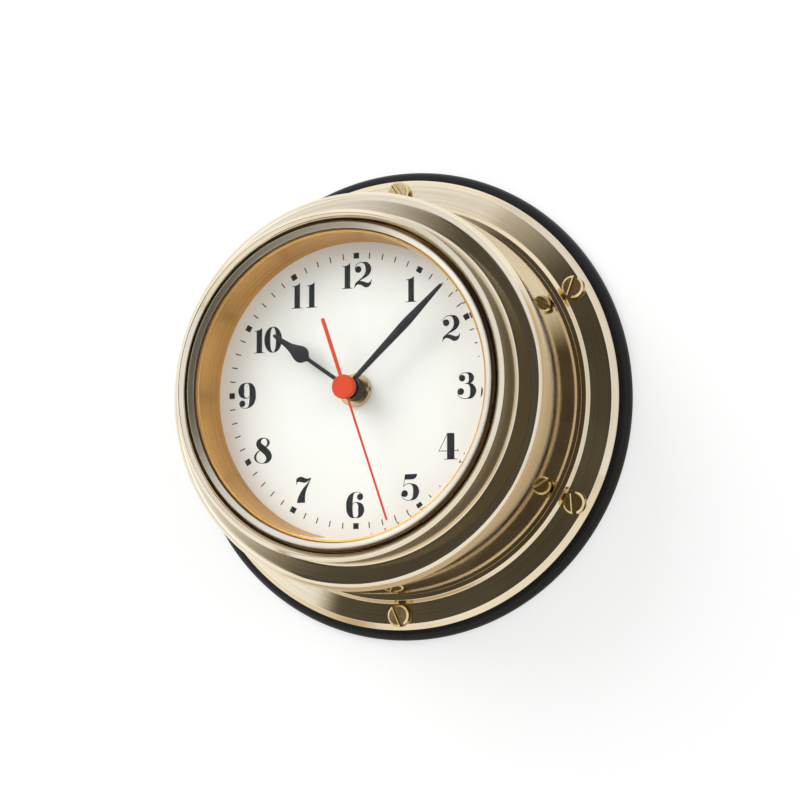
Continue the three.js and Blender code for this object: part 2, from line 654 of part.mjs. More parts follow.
// The cone of a countersunk head or of its seat
function countersink(extra) {
  const low = HANGER_INSET;
  const high = low + HANGER_SCREW_HEAD_HEIGHT;
  return turned(
    [
      [0, low - extra],
      [HANGER_SCREW_HEAD_RADIUS + extra, low - extra],
      [HANGER_SCREW_HEAD_RADIUS + extra, low],
      [HANGER_SCREW_SHANK_RADIUS + extra, high],
      [HANGER_SCREW_SHANK_RADIUS + extra, HANGER_INSET + HANGER_SCREW_LENGTH],
      [0, HANGER_INSET + HANGER_SCREW_LENGTH],
    ],
    PIPE_SIDES,
  );
}

// Hanger plate with a keyhole over the board's opening
function hangerPlate() {
  const low = HANGER_INSET;
  const outline = roundedRectangle(HANGER_LENGTH, HANGER_WIDTH, HANGER_CORNER, 0, HANGER_CENTRE_Z);
  const bar = plate(outline, low, HANGER_THICKNESS, 3);
  const keyholeZ = HANGER_CENTRE_Z - HANGER_WIDTH / 2 + KEYHOLE_MARGIN + KEYHOLE_RADIUS;
  const above = low + HANGER_THICKNESS + CUT_MARGIN;
  const entry = pipe(low - CUT_MARGIN, above, KEYHOLE_RADIUS, 0, PIPE_SIDES).translate(0, 0, keyholeZ);
  const slotRadius = KEYHOLE_SLOT_WIDTH / 2;
  const slotTop = keyholeZ + KEYHOLE_SLOT_RISE - slotRadius;
  const slotMiddle = (keyholeZ + slotTop) / 2;
  const slot = block(KEYHOLE_SLOT_WIDTH, slotTop - keyholeZ, low - CUT_MARGIN, above, 0, slotMiddle);
  const slotEnd = pipe(low - CUT_MARGIN, above, slotRadius, 0, PIPE_SIDES).translate(0, 0, slotTop);
  const seats = hangerScrewPlaces().map((x) => countersink(CLEARANCE).translate(x, 0, HANGER_CENTRE_Z));
  return cut(bar, entry, slot, slotEnd, ...seats);
}

// Direction and distance in the plane of the dial, as x and z
function place(from, direction, distance) {
  const angle = radians(direction);
  return { x: from.x + distance * Math.cos(angle), z: from.z + distance * Math.sin(angle) };
}

// Distance between the axes of a meshing pair
const spacing = (module, teeth, otherTeeth) => (module * (teeth + otherTeeth)) / 2;

// Where each arbor stands
const CENTRE = { x: 0, z: 0 };
const THIRD_SPACING = spacing(THIRD_MODULE, SECONDS_LEAVES, THIRD_TEETH);
const CENTRE_MODULE = (2 * THIRD_SPACING) / (CENTRE_TEETH + THIRD_LEAVES);
const MOTION_SPACING = spacing(MOTION_MODULE, CANNON_LEAVES, MINUTE_TEETH);
const HOUR_MODULE = (2 * MOTION_SPACING) / (HOUR_TEETH + MINUTE_LEAVES);
const THIRD_PLACE = place(CENTRE, THIRD_DIRECTION, THIRD_SPACING);
const FIFTH_PLACE = place(CENTRE, FIFTH_DIRECTION, spacing(FIFTH_MODULE, SECONDS_TEETH, FIFTH_LEAVES));
const ROTOR_PLACE = place(FIFTH_PLACE, ROTOR_DIRECTION, spacing(ROTOR_MODULE, FIFTH_TEETH, ROTOR_LEAVES));
const MINUTE_PLACE = place(CENTRE, MINUTE_DIRECTION, MOTION_SPACING);
const SETTING_SPACING = spacing(MOTION_MODULE, MINUTE_TEETH, SETTING_LEAVES);
const SETTING_PLACE = place(MINUTE_PLACE, SETTING_DIRECTION, SETTING_SPACING);

// The direction of a tooth on the second wheel of a pair that meshes with the first one's teeth
function meshedTooth(firstTooth, firstTeeth, secondTeeth, direction) {
  const offset = ((firstTooth - direction) * firstTeeth) / 360;
  return direction + 180 - ((offset + 0.5) * 360) / secondTeeth;
}

// A toothed disc with straight-sided teeth, one of them in the direction given in degrees
function toothed(teeth, module, toothDirection, low, thickness, bore) {
  const pitchRadius = (module * teeth) / 2;
  const root = pitchRadius - DEDENDUM * module;
  const tip = pitchRadius + ADDENDUM * module;
  const pitch = (2 * Math.PI) / teeth;
  const shape = new THREE.Shape();
  for (let i = 0; i < teeth; i++) {
    const middle = radians(toothDirection) + i * pitch;
    const corners = [
      [root, -TOOTH_ROOT_SHARE],
      [tip, -TOOTH_TIP_SHARE],
      [tip, TOOTH_TIP_SHARE],
      [root, TOOTH_ROOT_SHARE],
    ];
    corners.forEach(([radius, share], corner) => {
      const angle = middle + (share * pitch) / 2;
      const x = radius * Math.cos(angle);
      const z = radius * Math.sin(angle);
      if (i === 0 && corner === 0) shape.moveTo(x, z);
      else shape.lineTo(x, z);
    });
  }
  if (bore > 0) {
    const hole = new THREE.Path();
    hole.absarc(0, 0, bore, 0, Math.PI * 2, true);
    shape.holes.push(hole);
  }
  return plate(shape, low, thickness, PIN_SIDES / 2);
}

// A wheel in a layer, from the height of the layer's front face
function wheel(teeth, module, toothDirection, layer, bore = 0) {
  return toothed(teeth, module, toothDirection, layer - WHEEL_THICKNESS, WHEEL_THICKNESS, bore);
}

// A pinion that reaches a little past both faces of the wheel it meshes with
function pinion(leaves, module, toothDirection, layer, bore = 0) {
  const low = layer - WHEEL_THICKNESS - PINION_OVERLAP;
  return toothed(leaves, module, toothDirection, low, WHEEL_THICKNESS + 2 * PINION_OVERLAP, bore);
}

// Front shell of the movement: a tray with a battery bay, pivot holes and a post for the minute wheel
function movementFrontShell() {
  const square = roundedRectangle(BOX_SIDE, BOX_SIDE, BOX_CORNER);
  const outer = plate(square, BOX_INNER_BACK, BOX_FRONT - BOX_INNER_BACK, 3);
  const inside = BOX_SIDE - 2 * BOX_WALL;
  const roomBottom = RIB_BOTTOM + BAY_RIB;
  const roomTop = BOX_SIDE / 2 - BOX_WALL;
  const low = BOX_INNER_BACK - CUT_MARGIN;
  const room = block(inside, roomTop - roomBottom, low, BOX_INNER_FRONT, 0, (roomTop + roomBottom) / 2);
  const bayBottom = -BOX_SIDE / 2 + BOX_WALL;
  const bayRise = RIB_BOTTOM - bayBottom;
  const bay = block(inside, bayRise, low, BOX_INNER_FRONT, 0, bayBottom + bayRise / 2);
  const hole = pipe(BOX_INNER_FRONT - CUT_MARGIN, BOX_FRONT + CUT_MARGIN, BUSH_RADIUS + CLEARANCE);
  const pits = pivotHoles(BOX_INNER_FRONT - CUT_MARGIN, BOX_INNER_FRONT + PIVOT_DEPTH);
  const postTop = BOX_INNER_FRONT + PIVOT_DEPTH;
  const post = pipe(MOTION_LAYER - WHEEL_THICKNESS, postTop, MINUTE_POST_RADIUS, 0, PIN_SIDES);
  post.translate(MINUTE_PLACE.x, 0, MINUTE_PLACE.z);
  return joined(cut(outer, room, bay, hole, ...pits), post);
}

// Blind holes for the pivots of the arbors, between two heights
function pivotHoles(low, high) {
  const radius = ARBOR_RADIUS + RUNNING_CLEARANCE;
  return [THIRD_PLACE, FIFTH_PLACE, ROTOR_PLACE, SETTING_PLACE].map(({ x, z }) =>
    pipe(low, high, radius, 0, PIN_SIDES).translate(x, 0, z),
  );
}

// Back cover over the wheels, with the knob's hole, leaving the battery bay open
function movementBackCover() {
  const square = plate(roundedRectangle(BOX_SIDE, BOX_SIDE, BOX_CORNER), BOX_BACK, BOX_WALL, 3);
  const bottom = -BOX_SIDE / 2 - CUT_MARGIN;
  const rise = RIB_BOTTOM - bottom;
  const wide = BOX_SIDE + 2 * CUT_MARGIN;
  const bay = block(wide, rise, BOX_BACK - CUT_MARGIN, BOX_INNER_BACK + CUT_MARGIN, 0, bottom + rise / 2);
  const radius = SECONDS_ARBOR_RADIUS + RUNNING_CLEARANCE;
  const pits = [CENTRE, THIRD_PLACE, FIFTH_PLACE, ROTOR_PLACE].map(({ x, z }) =>
    pipe(BOX_INNER_BACK - PIVOT_DEPTH, BOX_INNER_BACK + CUT_MARGIN, radius, 0, PIN_SIDES).translate(x, 0, z),
  );
  const shaftHole = pipe(BOX_BACK - CUT_MARGIN, BOX_INNER_BACK + CUT_MARGIN, KNOB_SHAFT_RADIUS + CLEARANCE);
  shaftHole.translate(SETTING_PLACE.x, 0, SETTING_PLACE.z);
  return cut(square, bay, ...pits, shaftHole);
}

// Threaded bush, with a flange inside the movement box
function threadedBush() {
  const flangeBack = BOX_INNER_FRONT - BUSH_FLANGE_THICKNESS;
  return turned(
    [
      [BUSH_BORE_RADIUS, flangeBack],
      [BUSH_FLANGE_RADIUS, flangeBack],
      [BUSH_FLANGE_RADIUS, BOX_INNER_FRONT],
      [BUSH_RADIUS, BOX_INNER_FRONT],
      [BUSH_RADIUS, BUSH_FRONT],
      [BUSH_BORE_RADIUS, BUSH_FRONT],
    ],
    PIPE_SIDES,
  );
}

// Round nut on the bush, with two notches for its key
function centreNut() {
  const top = DIAL_HEIGHT + NUT_HEIGHT;
  const ring = pipe(DIAL_HEIGHT, top, NUT_RADIUS, BUSH_RADIUS + RUNNING_CLEARANCE, 2 * PIPE_SIDES);
  const low = DIAL_HEIGHT - CUT_MARGIN;
  const notches = [1, -1].map((side) =>
    block(NUT_SLOT_DEPTH * 2, NUT_SLOT_WIDTH, low, top + CUT_MARGIN, side * NUT_RADIUS),
  );
  return cut(ring, ...notches);
}

// Battery: a cell lying along x with its nub to the right
function battery() {
  const half = BATTERY_LENGTH / 2;
  const bodyEnd = half - BATTERY_NUB_LENGTH;
  const outline = [
    [0, -half],
    [BATTERY_RADIUS, -half],
    [BATTERY_RADIUS, bodyEnd],
    [BATTERY_NUB_RADIUS, bodyEnd],
    [BATTERY_NUB_RADIUS, half],
    [0, half],
  ];
  return turned(outline, PIPE_SIDES).rotateZ(Math.PI / 2).translate(0, -BATTERY_HEIGHT, BATTERY_Z);
}

// Bent contact strip between the battery's end and the box wall, on side 1 or -1
function batteryContact(side) {
  const half = BATTERY_LENGTH / 2;
  const wall = BOX_SIDE / 2 - BOX_WALL;
  const face = block(CONTACT_THICKNESS, CONTACT_WIDTH, 0, CONTACT_HEIGHT, half + CONTACT_THICKNESS / 2);
  const middle = (wall + half) / 2;
  const web = block(wall - half, CONTACT_WIDTH, CONTACT_HEIGHT - CONTACT_THICKNESS, CONTACT_HEIGHT, middle);
  const strip = joined(face, web).translate(0, -(BATTERY_HEIGHT - CONTACT_HEIGHT / 2), BATTERY_Z);
  return side > 0 ? strip : strip.rotateZ(Math.PI).translate(0, -2 * BATTERY_HEIGHT, 0);
}

// Rotor: a magnet, its pinion and its arbor
function rotor() {
  const tooth = meshedTooth(ROTOR_DIRECTION, FIFTH_TEETH, ROTOR_LEAVES, ROTOR_DIRECTION);
  const magnet = pipe(MAGNET_FRONT - MAGNET_LENGTH, MAGNET_FRONT, MAGNET_RADIUS);
  const arbor = pipe(PIVOT_BACK, PIVOT_FRONT, ARBOR_RADIUS, 0, PIN_SIDES);
  return joined(magnet, pinion(ROTOR_LEAVES, ROTOR_MODULE, tooth, FIFTH_LAYER), arbor);
}

// Fifth wheel, between the rotor and the seconds wheel
function fifthWheel() {
  const tooth = meshedTooth(FIFTH_DIRECTION, SECONDS_TEETH, FIFTH_LEAVES, FIFTH_DIRECTION);
  const arbor = pipe(PIVOT_BACK, PIVOT_FRONT, ARBOR_RADIUS, 0, PIN_SIDES);
  const driven = wheel(FIFTH_TEETH, ROTOR_MODULE, ROTOR_DIRECTION, FIFTH_LAYER);
  return joined(driven, pinion(FIFTH_LEAVES, FIFTH_MODULE, tooth, SECONDS_LAYER), arbor);
}

// Seconds wheel, its pinion, and the long arbor that carries the second hand
function secondsWheel() {
  const tooth = meshedTooth(THIRD_DIRECTION + 180, THIRD_TEETH, SECONDS_LEAVES, THIRD_DIRECTION + 180);
  const front = SECOND_BOSS_TOP - SECOND_BOSS_LENGTH / 2 - RUNNING_CLEARANCE;
  const arbor = pipe(PIVOT_BACK, front, SECONDS_ARBOR_RADIUS, 0, PIN_SIDES);
  const driven = wheel(SECONDS_TEETH, FIFTH_MODULE, FIFTH_DIRECTION, SECONDS_LAYER);
  return joined(driven, pinion(SECONDS_LEAVES, THIRD_MODULE, tooth, THIRD_LAYER), arbor);
}

// Third wheel, between the seconds wheel's pinion and the centre wheel
function thirdWheel() {
  const towardsCentre = THIRD_DIRECTION + 180;
  const tooth = meshedTooth(THIRD_DIRECTION, CENTRE_TEETH, THIRD_LEAVES, THIRD_DIRECTION);
  const arbor = pipe(PIVOT_BACK, PIVOT_FRONT, ARBOR_RADIUS, 0, PIN_SIDES);
  const driven = wheel(THIRD_TEETH, THIRD_MODULE, towardsCentre, THIRD_LAYER);
  return joined(driven, pinion(THIRD_LEAVES, CENTRE_MODULE, tooth, CENTRE_LAYER), arbor);
}

// Centre wheel, which drives the cannon pinion's stub by friction
function centreWheel() {
  const bore = CANNON_PIPE_RADIUS + CLUTCH_CLEARANCE;
  return wheel(CENTRE_TEETH, CENTRE_MODULE, THIRD_DIRECTION, CENTRE_LAYER, bore);
}

// Cannon pinion with the pipe that carries the minute hand
function cannonPinion() {
  const stub = CENTRE_LAYER - WHEEL_THICKNESS;
  const tube = pipe(stub, MINUTE_HAND_TOP - RUNNING_CLEARANCE, CANNON_PIPE_RADIUS, CANNON_PIPE_BORE);
  const bore = (CANNON_PIPE_BORE + CANNON_PIPE_RADIUS) / 2;
  const driver = pinion(CANNON_LEAVES, MOTION_MODULE, MINUTE_DIRECTION, MOTION_LAYER, bore);
  return joined(tube, driver);
}

// The direction of a tooth on the minute wheel, set by the cannon pinion
const MINUTE_TOOTH = meshedTooth(MINUTE_DIRECTION, CANNON_LEAVES, MINUTE_TEETH, MINUTE_DIRECTION);

// Minute wheel and its pinion, turning on a post of the front shell
function minuteWheel() {
  const towardsCentre = MINUTE_DIRECTION + 180;
  const bore = MINUTE_POST_RADIUS + RUNNING_CLEARANCE;
  const driven = wheel(MINUTE_TEETH, MOTION_MODULE, MINUTE_TOOTH, MOTION_LAYER, bore);
  const low = MOTION_LAYER - WHEEL_THICKNESS;
  const length = HOUR_LAYER + PINION_OVERLAP - low;
  const driver = toothed(MINUTE_LEAVES, HOUR_MODULE, towardsCentre, low, length, bore);
  return joined(driven, driver);
}

// Hour wheel with the pipe that carries the hour hand
function hourWheel() {
  const tooth = meshedTooth(MINUTE_DIRECTION + 180, MINUTE_LEAVES, HOUR_TEETH, MINUTE_DIRECTION + 180);
  const bore = (HOUR_PIPE_BORE + HOUR_PIPE_RADIUS) / 2;
  const driven = wheel(HOUR_TEETH, HOUR_MODULE, tooth, HOUR_LAYER, bore);
  const top = HOUR_HAND_TOP - RUNNING_CLEARANCE;
  const tube = pipe(HOUR_LAYER - WHEEL_THICKNESS, top, HOUR_PIPE_RADIUS, HOUR_PIPE_BORE);
  return joined(tube, driven);
}

// Setting knob at the back, its shaft, and the pinion that turns the minute wheel
function settingKnob() {
  const tooth = meshedTooth(MINUTE_TOOTH, MINUTE_TEETH, SETTING_LEAVES, SETTING_DIRECTION);
  const knobFront = BOX_BACK - CLEARANCE;
  const knobBack = knobFront - KNOB_LENGTH;
  const pivot = pipe(knobFront, PIVOT_FRONT, ARBOR_RADIUS, 0, PIN_SIDES);
  const shaft = pipe(knobFront - CUT_MARGIN, MOTION_LAYER - WHEEL_THICKNESS, KNOB_SHAFT_RADIUS);
  const driver = pinion(SETTING_LEAVES, MOTION_MODULE, tooth, MOTION_LAYER);
  const shape = new THREE.Shape();
  const points = KNOB_FLUTES * 2;
  for (let i = 0; i < points; i++) {
    const angle = (i / points) * 2 * Math.PI;
    const radius = KNOB_RADIUS - (KNOB_FLUTE_DEPTH / 2) * (1 - Math.cos(KNOB_FLUTES * angle));
    if (i === 0) shape.moveTo(radius, 0);
    else shape.lineTo(radius * Math.cos(angle), radius * Math.sin(angle));
  }
  return joined(plate(shape, knobBack, KNOB_LENGTH), shaft, driver, pivot);
}

// Stator: a plate round the magnet with two legs and blocks that carry the coil's core
function stator() {
  const low = MAGNET_FRONT - MAGNET_LENGTH / 2 - STATOR_THICKNESS / 2;
  const hole = MAGNET_RADIUS + STATOR_GAP;
  const ring = pipe(low, low + STATOR_THICKNESS, hole + STATOR_RING_WALL);
  ring.translate(ROTOR_PLACE.x, 0, ROTOR_PLACE.z);
  const bore = pipe(low - CUT_MARGIN, low + STATOR_THICKNESS + CUT_MARGIN, hole);
  bore.translate(ROTOR_PLACE.x, 0, ROTOR_PLACE.z);
  const reach = COIL_LENGTH / 2 + CORE_OVERHANG;
  const top = COIL_CENTRE_Z + CORE_WIDTH / 2;
  const yoke = new THREE.Shape();
  yoke.moveTo(ROTOR_PLACE.x - STATOR_WAIST / 2, ROTOR_PLACE.z);
  yoke.lineTo(ROTOR_PLACE.x + STATOR_WAIST / 2, ROTOR_PLACE.z);
  yoke.lineTo(COIL_CENTRE_X + reach, top - CORE_WIDTH);
  yoke.lineTo(COIL_CENTRE_X + reach, top);
  yoke.lineTo(COIL_CENTRE_X + reach - CORE_WIDTH, top);
  yoke.lineTo(COIL_CENTRE_X + COIL_LENGTH / 2, COIL_CENTRE_Z - COIL_RADIUS - CLEARANCE);
  yoke.lineTo(COIL_CENTRE_X - COIL_LENGTH / 2, COIL_CENTRE_Z - COIL_RADIUS - CLEARANCE);
  yoke.lineTo(COIL_CENTRE_X - reach + CORE_WIDTH, top);
  yoke.lineTo(COIL_CENTRE_X - reach, top);
  yoke.lineTo(COIL_CENTRE_X - reach, top - CORE_WIDTH);
  const foot = CORE_OVERHANG - CLEARANCE;
  const blockX = reach - foot / 2;
  const blocks = [1, -1].map((side) =>
    block(foot, CORE_WIDTH, low, CORE_BACK, COIL_CENTRE_X + side * blockX, COIL_CENTRE_Z),
  );
  return cut(joined(plate(yoke, low, STATOR_THICKNESS), ring, ...blocks), bore);
}

const COIL_HEIGHT = BOX_INNER_BACK + CLEARANCE + COIL_RADIUS;
const CORE_BACK = COIL_HEIGHT - CORE_THICKNESS / 2;

// Coil of wire on its bobbin, along x
function coil() {
  const half = COIL_LENGTH / 2;
  const wire = COIL_RADIUS - COIL_CHEEK_RISE;
  const outline = [
    [COIL_BORE_RADIUS, -half],
    [COIL_RADIUS, -half],
    [COIL_RADIUS, -half + COIL_CHEEK],
    [wire, -half + COIL_CHEEK],
    [wire, half - COIL_CHEEK],
    [COIL_RADIUS, half - COIL_CHEEK],
    [COIL_RADIUS, half],
    [COIL_BORE_RADIUS, half],
  ];
  const ring = turned(outline, PIPE_SIDES).rotateZ(Math.PI / 2);
  return ring.translate(COIL_CENTRE_X, -COIL_HEIGHT, COIL_CENTRE_Z);
}

// Soft iron core through the coil, resting on the stator's blocks
function coilCore() {
  const length = COIL_LENGTH + 2 * CORE_OVERHANG;
  return block(length, CORE_WIDTH, CORE_BACK, CORE_BACK + CORE_THICKNESS, COIL_CENTRE_X, COIL_CENTRE_Z);
}

// Circuit board with its chip, against the front wall of the box
const CIRCUIT_X = -BOX_SIDE / 2 + BOX_WALL + CLEARANCE + CIRCUIT_LENGTH / 2;
const CIRCUIT_Z = BOX_SIDE / 2 - BOX_WALL - CLEARANCE - CIRCUIT_WIDTH / 2;
function circuitBoard() {
  const back = BOX_INNER_FRONT - CIRCUIT_THICKNESS;
  const card = block(CIRCUIT_LENGTH, CIRCUIT_WIDTH, back, BOX_INNER_FRONT, CIRCUIT_X, CIRCUIT_Z);
  const chipX = CIRCUIT_X - CIRCUIT_LENGTH / 4;
  const chipTop = back + CIRCUIT_THICKNESS / 2;
  const chip = block(CHIP_SIZE, CHIP_SIZE, back - CHIP_HEIGHT, chipTop, chipX, CIRCUIT_Z);
  return joined(card, chip);
}

// Quartz crystal in its can, on the circuit board
function quartzCrystal() {
  const half = CRYSTAL_LENGTH / 2;
  const can = pipe(-half, half, CRYSTAL_RADIUS, 0, PIN_SIDES).rotateZ(Math.PI / 2);
  const height = BOX_INNER_FRONT - CIRCUIT_THICKNESS - CLEARANCE - CRYSTAL_RADIUS;
  return can.translate(CIRCUIT_X + CIRCUIT_LENGTH / 4, -height, CIRCUIT_Z);
}

// Hour hand pointing up: a stem, a round bulb and a tapered point
function hourHand() {
  const shape = new THREE.Shape();
  const stem = HOUR_STEM_WIDTH / 2;
  const tip = HOUR_TIP_WIDTH / 2;
  const below = Math.asin(stem / HOUR_BULB_RADIUS);
  const shoulder = radians(HOUR_BULB_SHOULDER);
  const shoulderX = HOUR_BULB_RADIUS * Math.cos(shoulder);
  const shoulderZ = HOUR_BULB_CENTRE + HOUR_BULB_RADIUS * Math.sin(shoulder);
  const point = HOUR_HAND_LENGTH - HOUR_BULB_CENTRE;
  const waistZ = HOUR_BULB_CENTRE + point * 0.28;
  const bendZ = HOUR_BULB_CENTRE + point * 0.5;
  shape.moveTo(stem, 0);
  shape.absarc(0, HOUR_BULB_CENTRE, HOUR_BULB_RADIUS, below - Math.PI / 2, shoulder, false);
  shape.bezierCurveTo(shoulderX - 0.5, shoulderZ + 1, tip + 0.9, waistZ, tip + 0.3, bendZ);
  shape.lineTo(tip, HOUR_HAND_LENGTH);
  shape.lineTo(-tip, HOUR_HAND_LENGTH);
  shape.lineTo(-tip - 0.3, bendZ);
  shape.bezierCurveTo(-tip - 0.9, waistZ, -shoulderX + 0.5, shoulderZ + 1, -shoulderX, shoulderZ);
  shape.absarc(0, HOUR_BULB_CENTRE, HOUR_BULB_RADIUS, Math.PI - shoulder, 1.5 * Math.PI - below, false);
  shape.lineTo(-stem, 0);
  const blade = plate(shape, HOUR_HAND_TOP - HAND_THICKNESS, HAND_THICKNESS, 6);
  const boss = pipe(HOUR_HAND_TOP - HOUR_BOSS_LENGTH, HOUR_HAND_TOP, HOUR_BOSS_RADIUS);
  const bore = pipe(BUSH_FRONT, HOUR_HAND_TOP + CUT_MARGIN, HOUR_PIPE_RADIUS + RUNNING_CLEARANCE);
  return cut(joined(boss, blade), bore);
}

// Minute hand pointing up: a tapered baton that is widest past its middle
function minuteHand() {
  const root = MINUTE_ROOT_WIDTH / 2;
  const widest = MINUTE_WIDEST / 2;
  const tip = MINUTE_TIP_WIDTH / 2;
  const shape = new THREE.Shape();
  shape.moveTo(root, 0);
  shape.lineTo(widest, MINUTE_WIDEST_AT);
  shape.lineTo(tip, MINUTE_HAND_LENGTH - tip);
  shape.absarc(0, MINUTE_HAND_LENGTH - tip, tip, 0, Math.PI, false);
  shape.lineTo(-widest, MINUTE_WIDEST_AT);
  shape.lineTo(-root, 0);
  const blade = plate(shape, MINUTE_HAND_TOP - HAND_THICKNESS, HAND_THICKNESS, 4);
  const boss = pipe(MINUTE_HAND_TOP - MINUTE_BOSS_LENGTH, MINUTE_HAND_TOP, MINUTE_BOSS_RADIUS);
  const bore = pipe(BUSH_FRONT, MINUTE_HAND_TOP + CUT_MARGIN, CANNON_PIPE_RADIUS + RUNNING_CLEARANCE);
  return cut(joined(boss, blade), bore);
}

// Second hand pointing up, with its tail and its round boss
function secondHand() {
  const shape = new THREE.Shape();
  const tip = SECOND_TIP_WIDTH / 2;
  const tail = SECOND_TAIL_WIDTH / 2;
  shape.moveTo(tip, SECOND_HAND_LENGTH);
  shape.lineTo(-tip, SECOND_HAND_LENGTH);
  shape.lineTo(-tip * 1.4, 0);
  shape.lineTo(-tail, -SECOND_TAIL_LENGTH);
  shape.lineTo(tail, -SECOND_TAIL_LENGTH);
  shape.lineTo(tip * 1.4, 0);
  const middle = SECOND_BOSS_BACK + SECOND_BOSS_LENGTH / 2;
  const blade = plate(shape, middle - SECOND_THICKNESS, SECOND_THICKNESS);
  const boss = pipe(SECOND_BOSS_BACK, SECOND_BOSS_TOP, SECOND_BOSS_RADIUS, 0, 2 * PIPE_SIDES);
  const bore = SECONDS_ARBOR_RADIUS + RUNNING_CLEARANCE;
  const socket = pipe(SECOND_BOSS_BACK - CUT_MARGIN, middle, bore, 0, PIN_SIDES);
  return cut(joined(boss, blade), socket);
}

// Case and glass
const casing = new THREE.Group();
part.add(casing);
add(casing, "backing_board", backingBoard(), BLACK_BOARD);
add(casing, "edge_band", edgeBand(), BLACK_RUBBER);
add(casing, "case_body", caseBody(), BRASS);
add(casing, "bezel", bezel(), BRASS);
add(casing, "inner_ring", innerRing(), GOLD_WALL);
add(casing, "glass_gasket", glassGasket(), BLACK_RUBBER);
add(casing, "glass", glass(), GLASS);
add(casing, "glass_retaining_ring", glassRetainingRing(), BRASS);
SCREW_SLOT_ANGLES.forEach((slotAngle, i) => {
  const screw = add(casing, `flange_screw_${i + 1}`, flangeScrew(slotAngle), SCREW_BRASS);
  const { x, z } = screwPlace(i);
  screw.position.set(x, 0, z);
});
add(casing, "hanger_plate", hangerPlate(), STEEL);
hangerScrewPlaces().forEach((x, i) => {
  const screw = add(casing, `hanger_screw_${i + 1}`, countersink(0), STEEL);
  screw.position.set(x, 0, HANGER_CENTRE_Z);
});

// Dial with the movement clamped behind it
const dialRadius = NECK_BORE - 2 * CLEARANCE;
const dialPlate = pipe(DIAL_BACK, DIAL_HEIGHT, dialRadius, BUSH_RADIUS + CLEARANCE, RING_SIDES);
add(casing, "dial_plate", dialPlate, WHITE_DIAL);
const movement = new THREE.Group();
part.add(movement);
const washer = pipe(BOX_FRONT, DIAL_BACK, WASHER_RADIUS, BUSH_RADIUS + CLEARANCE);
add(movement, "rubber_washer", washer, BLACK_RUBBER);
add(movement, "threaded_bush", threadedBush(), SCREW_BRASS);
add(movement, "centre_nut", centreNut(), STEEL);
add(movement, "movement_front_shell", movementFrontShell(), BLACK_PLASTIC);
add(movement, "movement_back_cover", movementBackCover(), BLACK_PLASTIC);
add(movement, "battery", battery(), BATTERY_WRAP);
add(movement, "battery_contact_positive", batteryContact(1), STEEL);
add(movement, "battery_contact_negative", batteryContact(-1), STEEL);
add(movement, "circuit_board", circuitBoard(), GREEN_BOARD);
add(movement, "quartz_crystal", quartzCrystal(), STEEL);
add(movement, "stator", stator(), STEEL);
add(movement, "coil", coil(), COPPER);
add(movement, "coil_core", coilCore(), STEEL);

// Wheels, each standing on its own arbor's axis
const train = new THREE.Group();
movement.add(train);
const wheels = [
  ["rotor", rotor(), ROTOR_PLACE, WHITE_PLASTIC],
  ["fifth_wheel", fifthWheel(), FIFTH_PLACE, WHITE_PLASTIC],
  ["seconds_wheel", secondsWheel(), CENTRE, STEEL],
  ["third_wheel", thirdWheel(), THIRD_PLACE, WHITE_PLASTIC],
  ["centre_wheel", centreWheel(), CENTRE, WHITE_PLASTIC],
  ["cannon_pinion", cannonPinion(), CENTRE, SCREW_BRASS],
  ["minute_wheel", minuteWheel(), MINUTE_PLACE, WHITE_PLASTIC],
  ["hour_wheel", hourWheel(), CENTRE, WHITE_PLASTIC],
  ["setting_knob", settingKnob(), SETTING_PLACE, BLACK_PLASTIC],
];
wheels.forEach(([name, geometry, { x, z }, material]) => {
  add(train, name, geometry, material).position.set(x, 0, z);
});

// Hands, turned to the time that they show
const hands = new THREE.Group();
part.add(hands);
add(hands, "hour_hand", hourHand(), CHARCOAL).rotation.y = radians(HOUR_ANGLE);
add(hands, "minute_hand", minuteHand(), CHARCOAL).rotation.y = radians(MINUTE_ANGLE);
add(hands, "second_hand", secondHand(), RED).rotation.y = radians(SECOND_ANGLE);

export default part;
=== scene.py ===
# %% [markdown]
# # A ship's clock in turned brass
# The packed model gives every solid of this clock in its true place. This file dresses it: turned brass
# with soft edges, a printed dial, bevelled glass, painted hands, a rubber band and a quartz movement.
# Everything is in metres, and the clock hangs on a wall at y = 0 with its dial towards -Y.

# %% Load the frame
import math

import bmesh
import bpy
from mathutils import Matrix, Vector


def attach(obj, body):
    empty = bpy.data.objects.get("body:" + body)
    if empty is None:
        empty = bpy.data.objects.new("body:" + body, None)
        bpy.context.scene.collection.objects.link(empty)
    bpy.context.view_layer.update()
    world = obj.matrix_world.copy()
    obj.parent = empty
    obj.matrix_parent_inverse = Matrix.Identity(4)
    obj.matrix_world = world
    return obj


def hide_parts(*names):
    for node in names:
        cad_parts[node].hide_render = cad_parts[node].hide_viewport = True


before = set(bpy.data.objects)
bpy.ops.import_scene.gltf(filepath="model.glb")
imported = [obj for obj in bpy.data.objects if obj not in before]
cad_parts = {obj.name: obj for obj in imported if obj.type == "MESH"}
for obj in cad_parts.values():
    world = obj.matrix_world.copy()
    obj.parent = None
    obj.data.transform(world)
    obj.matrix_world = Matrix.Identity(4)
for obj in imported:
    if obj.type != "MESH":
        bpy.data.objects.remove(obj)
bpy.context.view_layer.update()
scene = bpy.context.scene
print("solids in the frame:", len(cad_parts))

# %% [markdown]
# ## Camera
# The clock was photographed from a little below and from its right, with a long lens, so its circles
# stay close to true ellipses. A camera could be aimed by a Track To constraint, but here its angles,
# distance and focal length were worked out from the twelve squares of the dial and the edge of the
# band. So its own axes are written down as a matrix, which leaves no roll. The distances are counted
# in radii of the circle on which the squares stand, and the focal length in pixels of the picture.

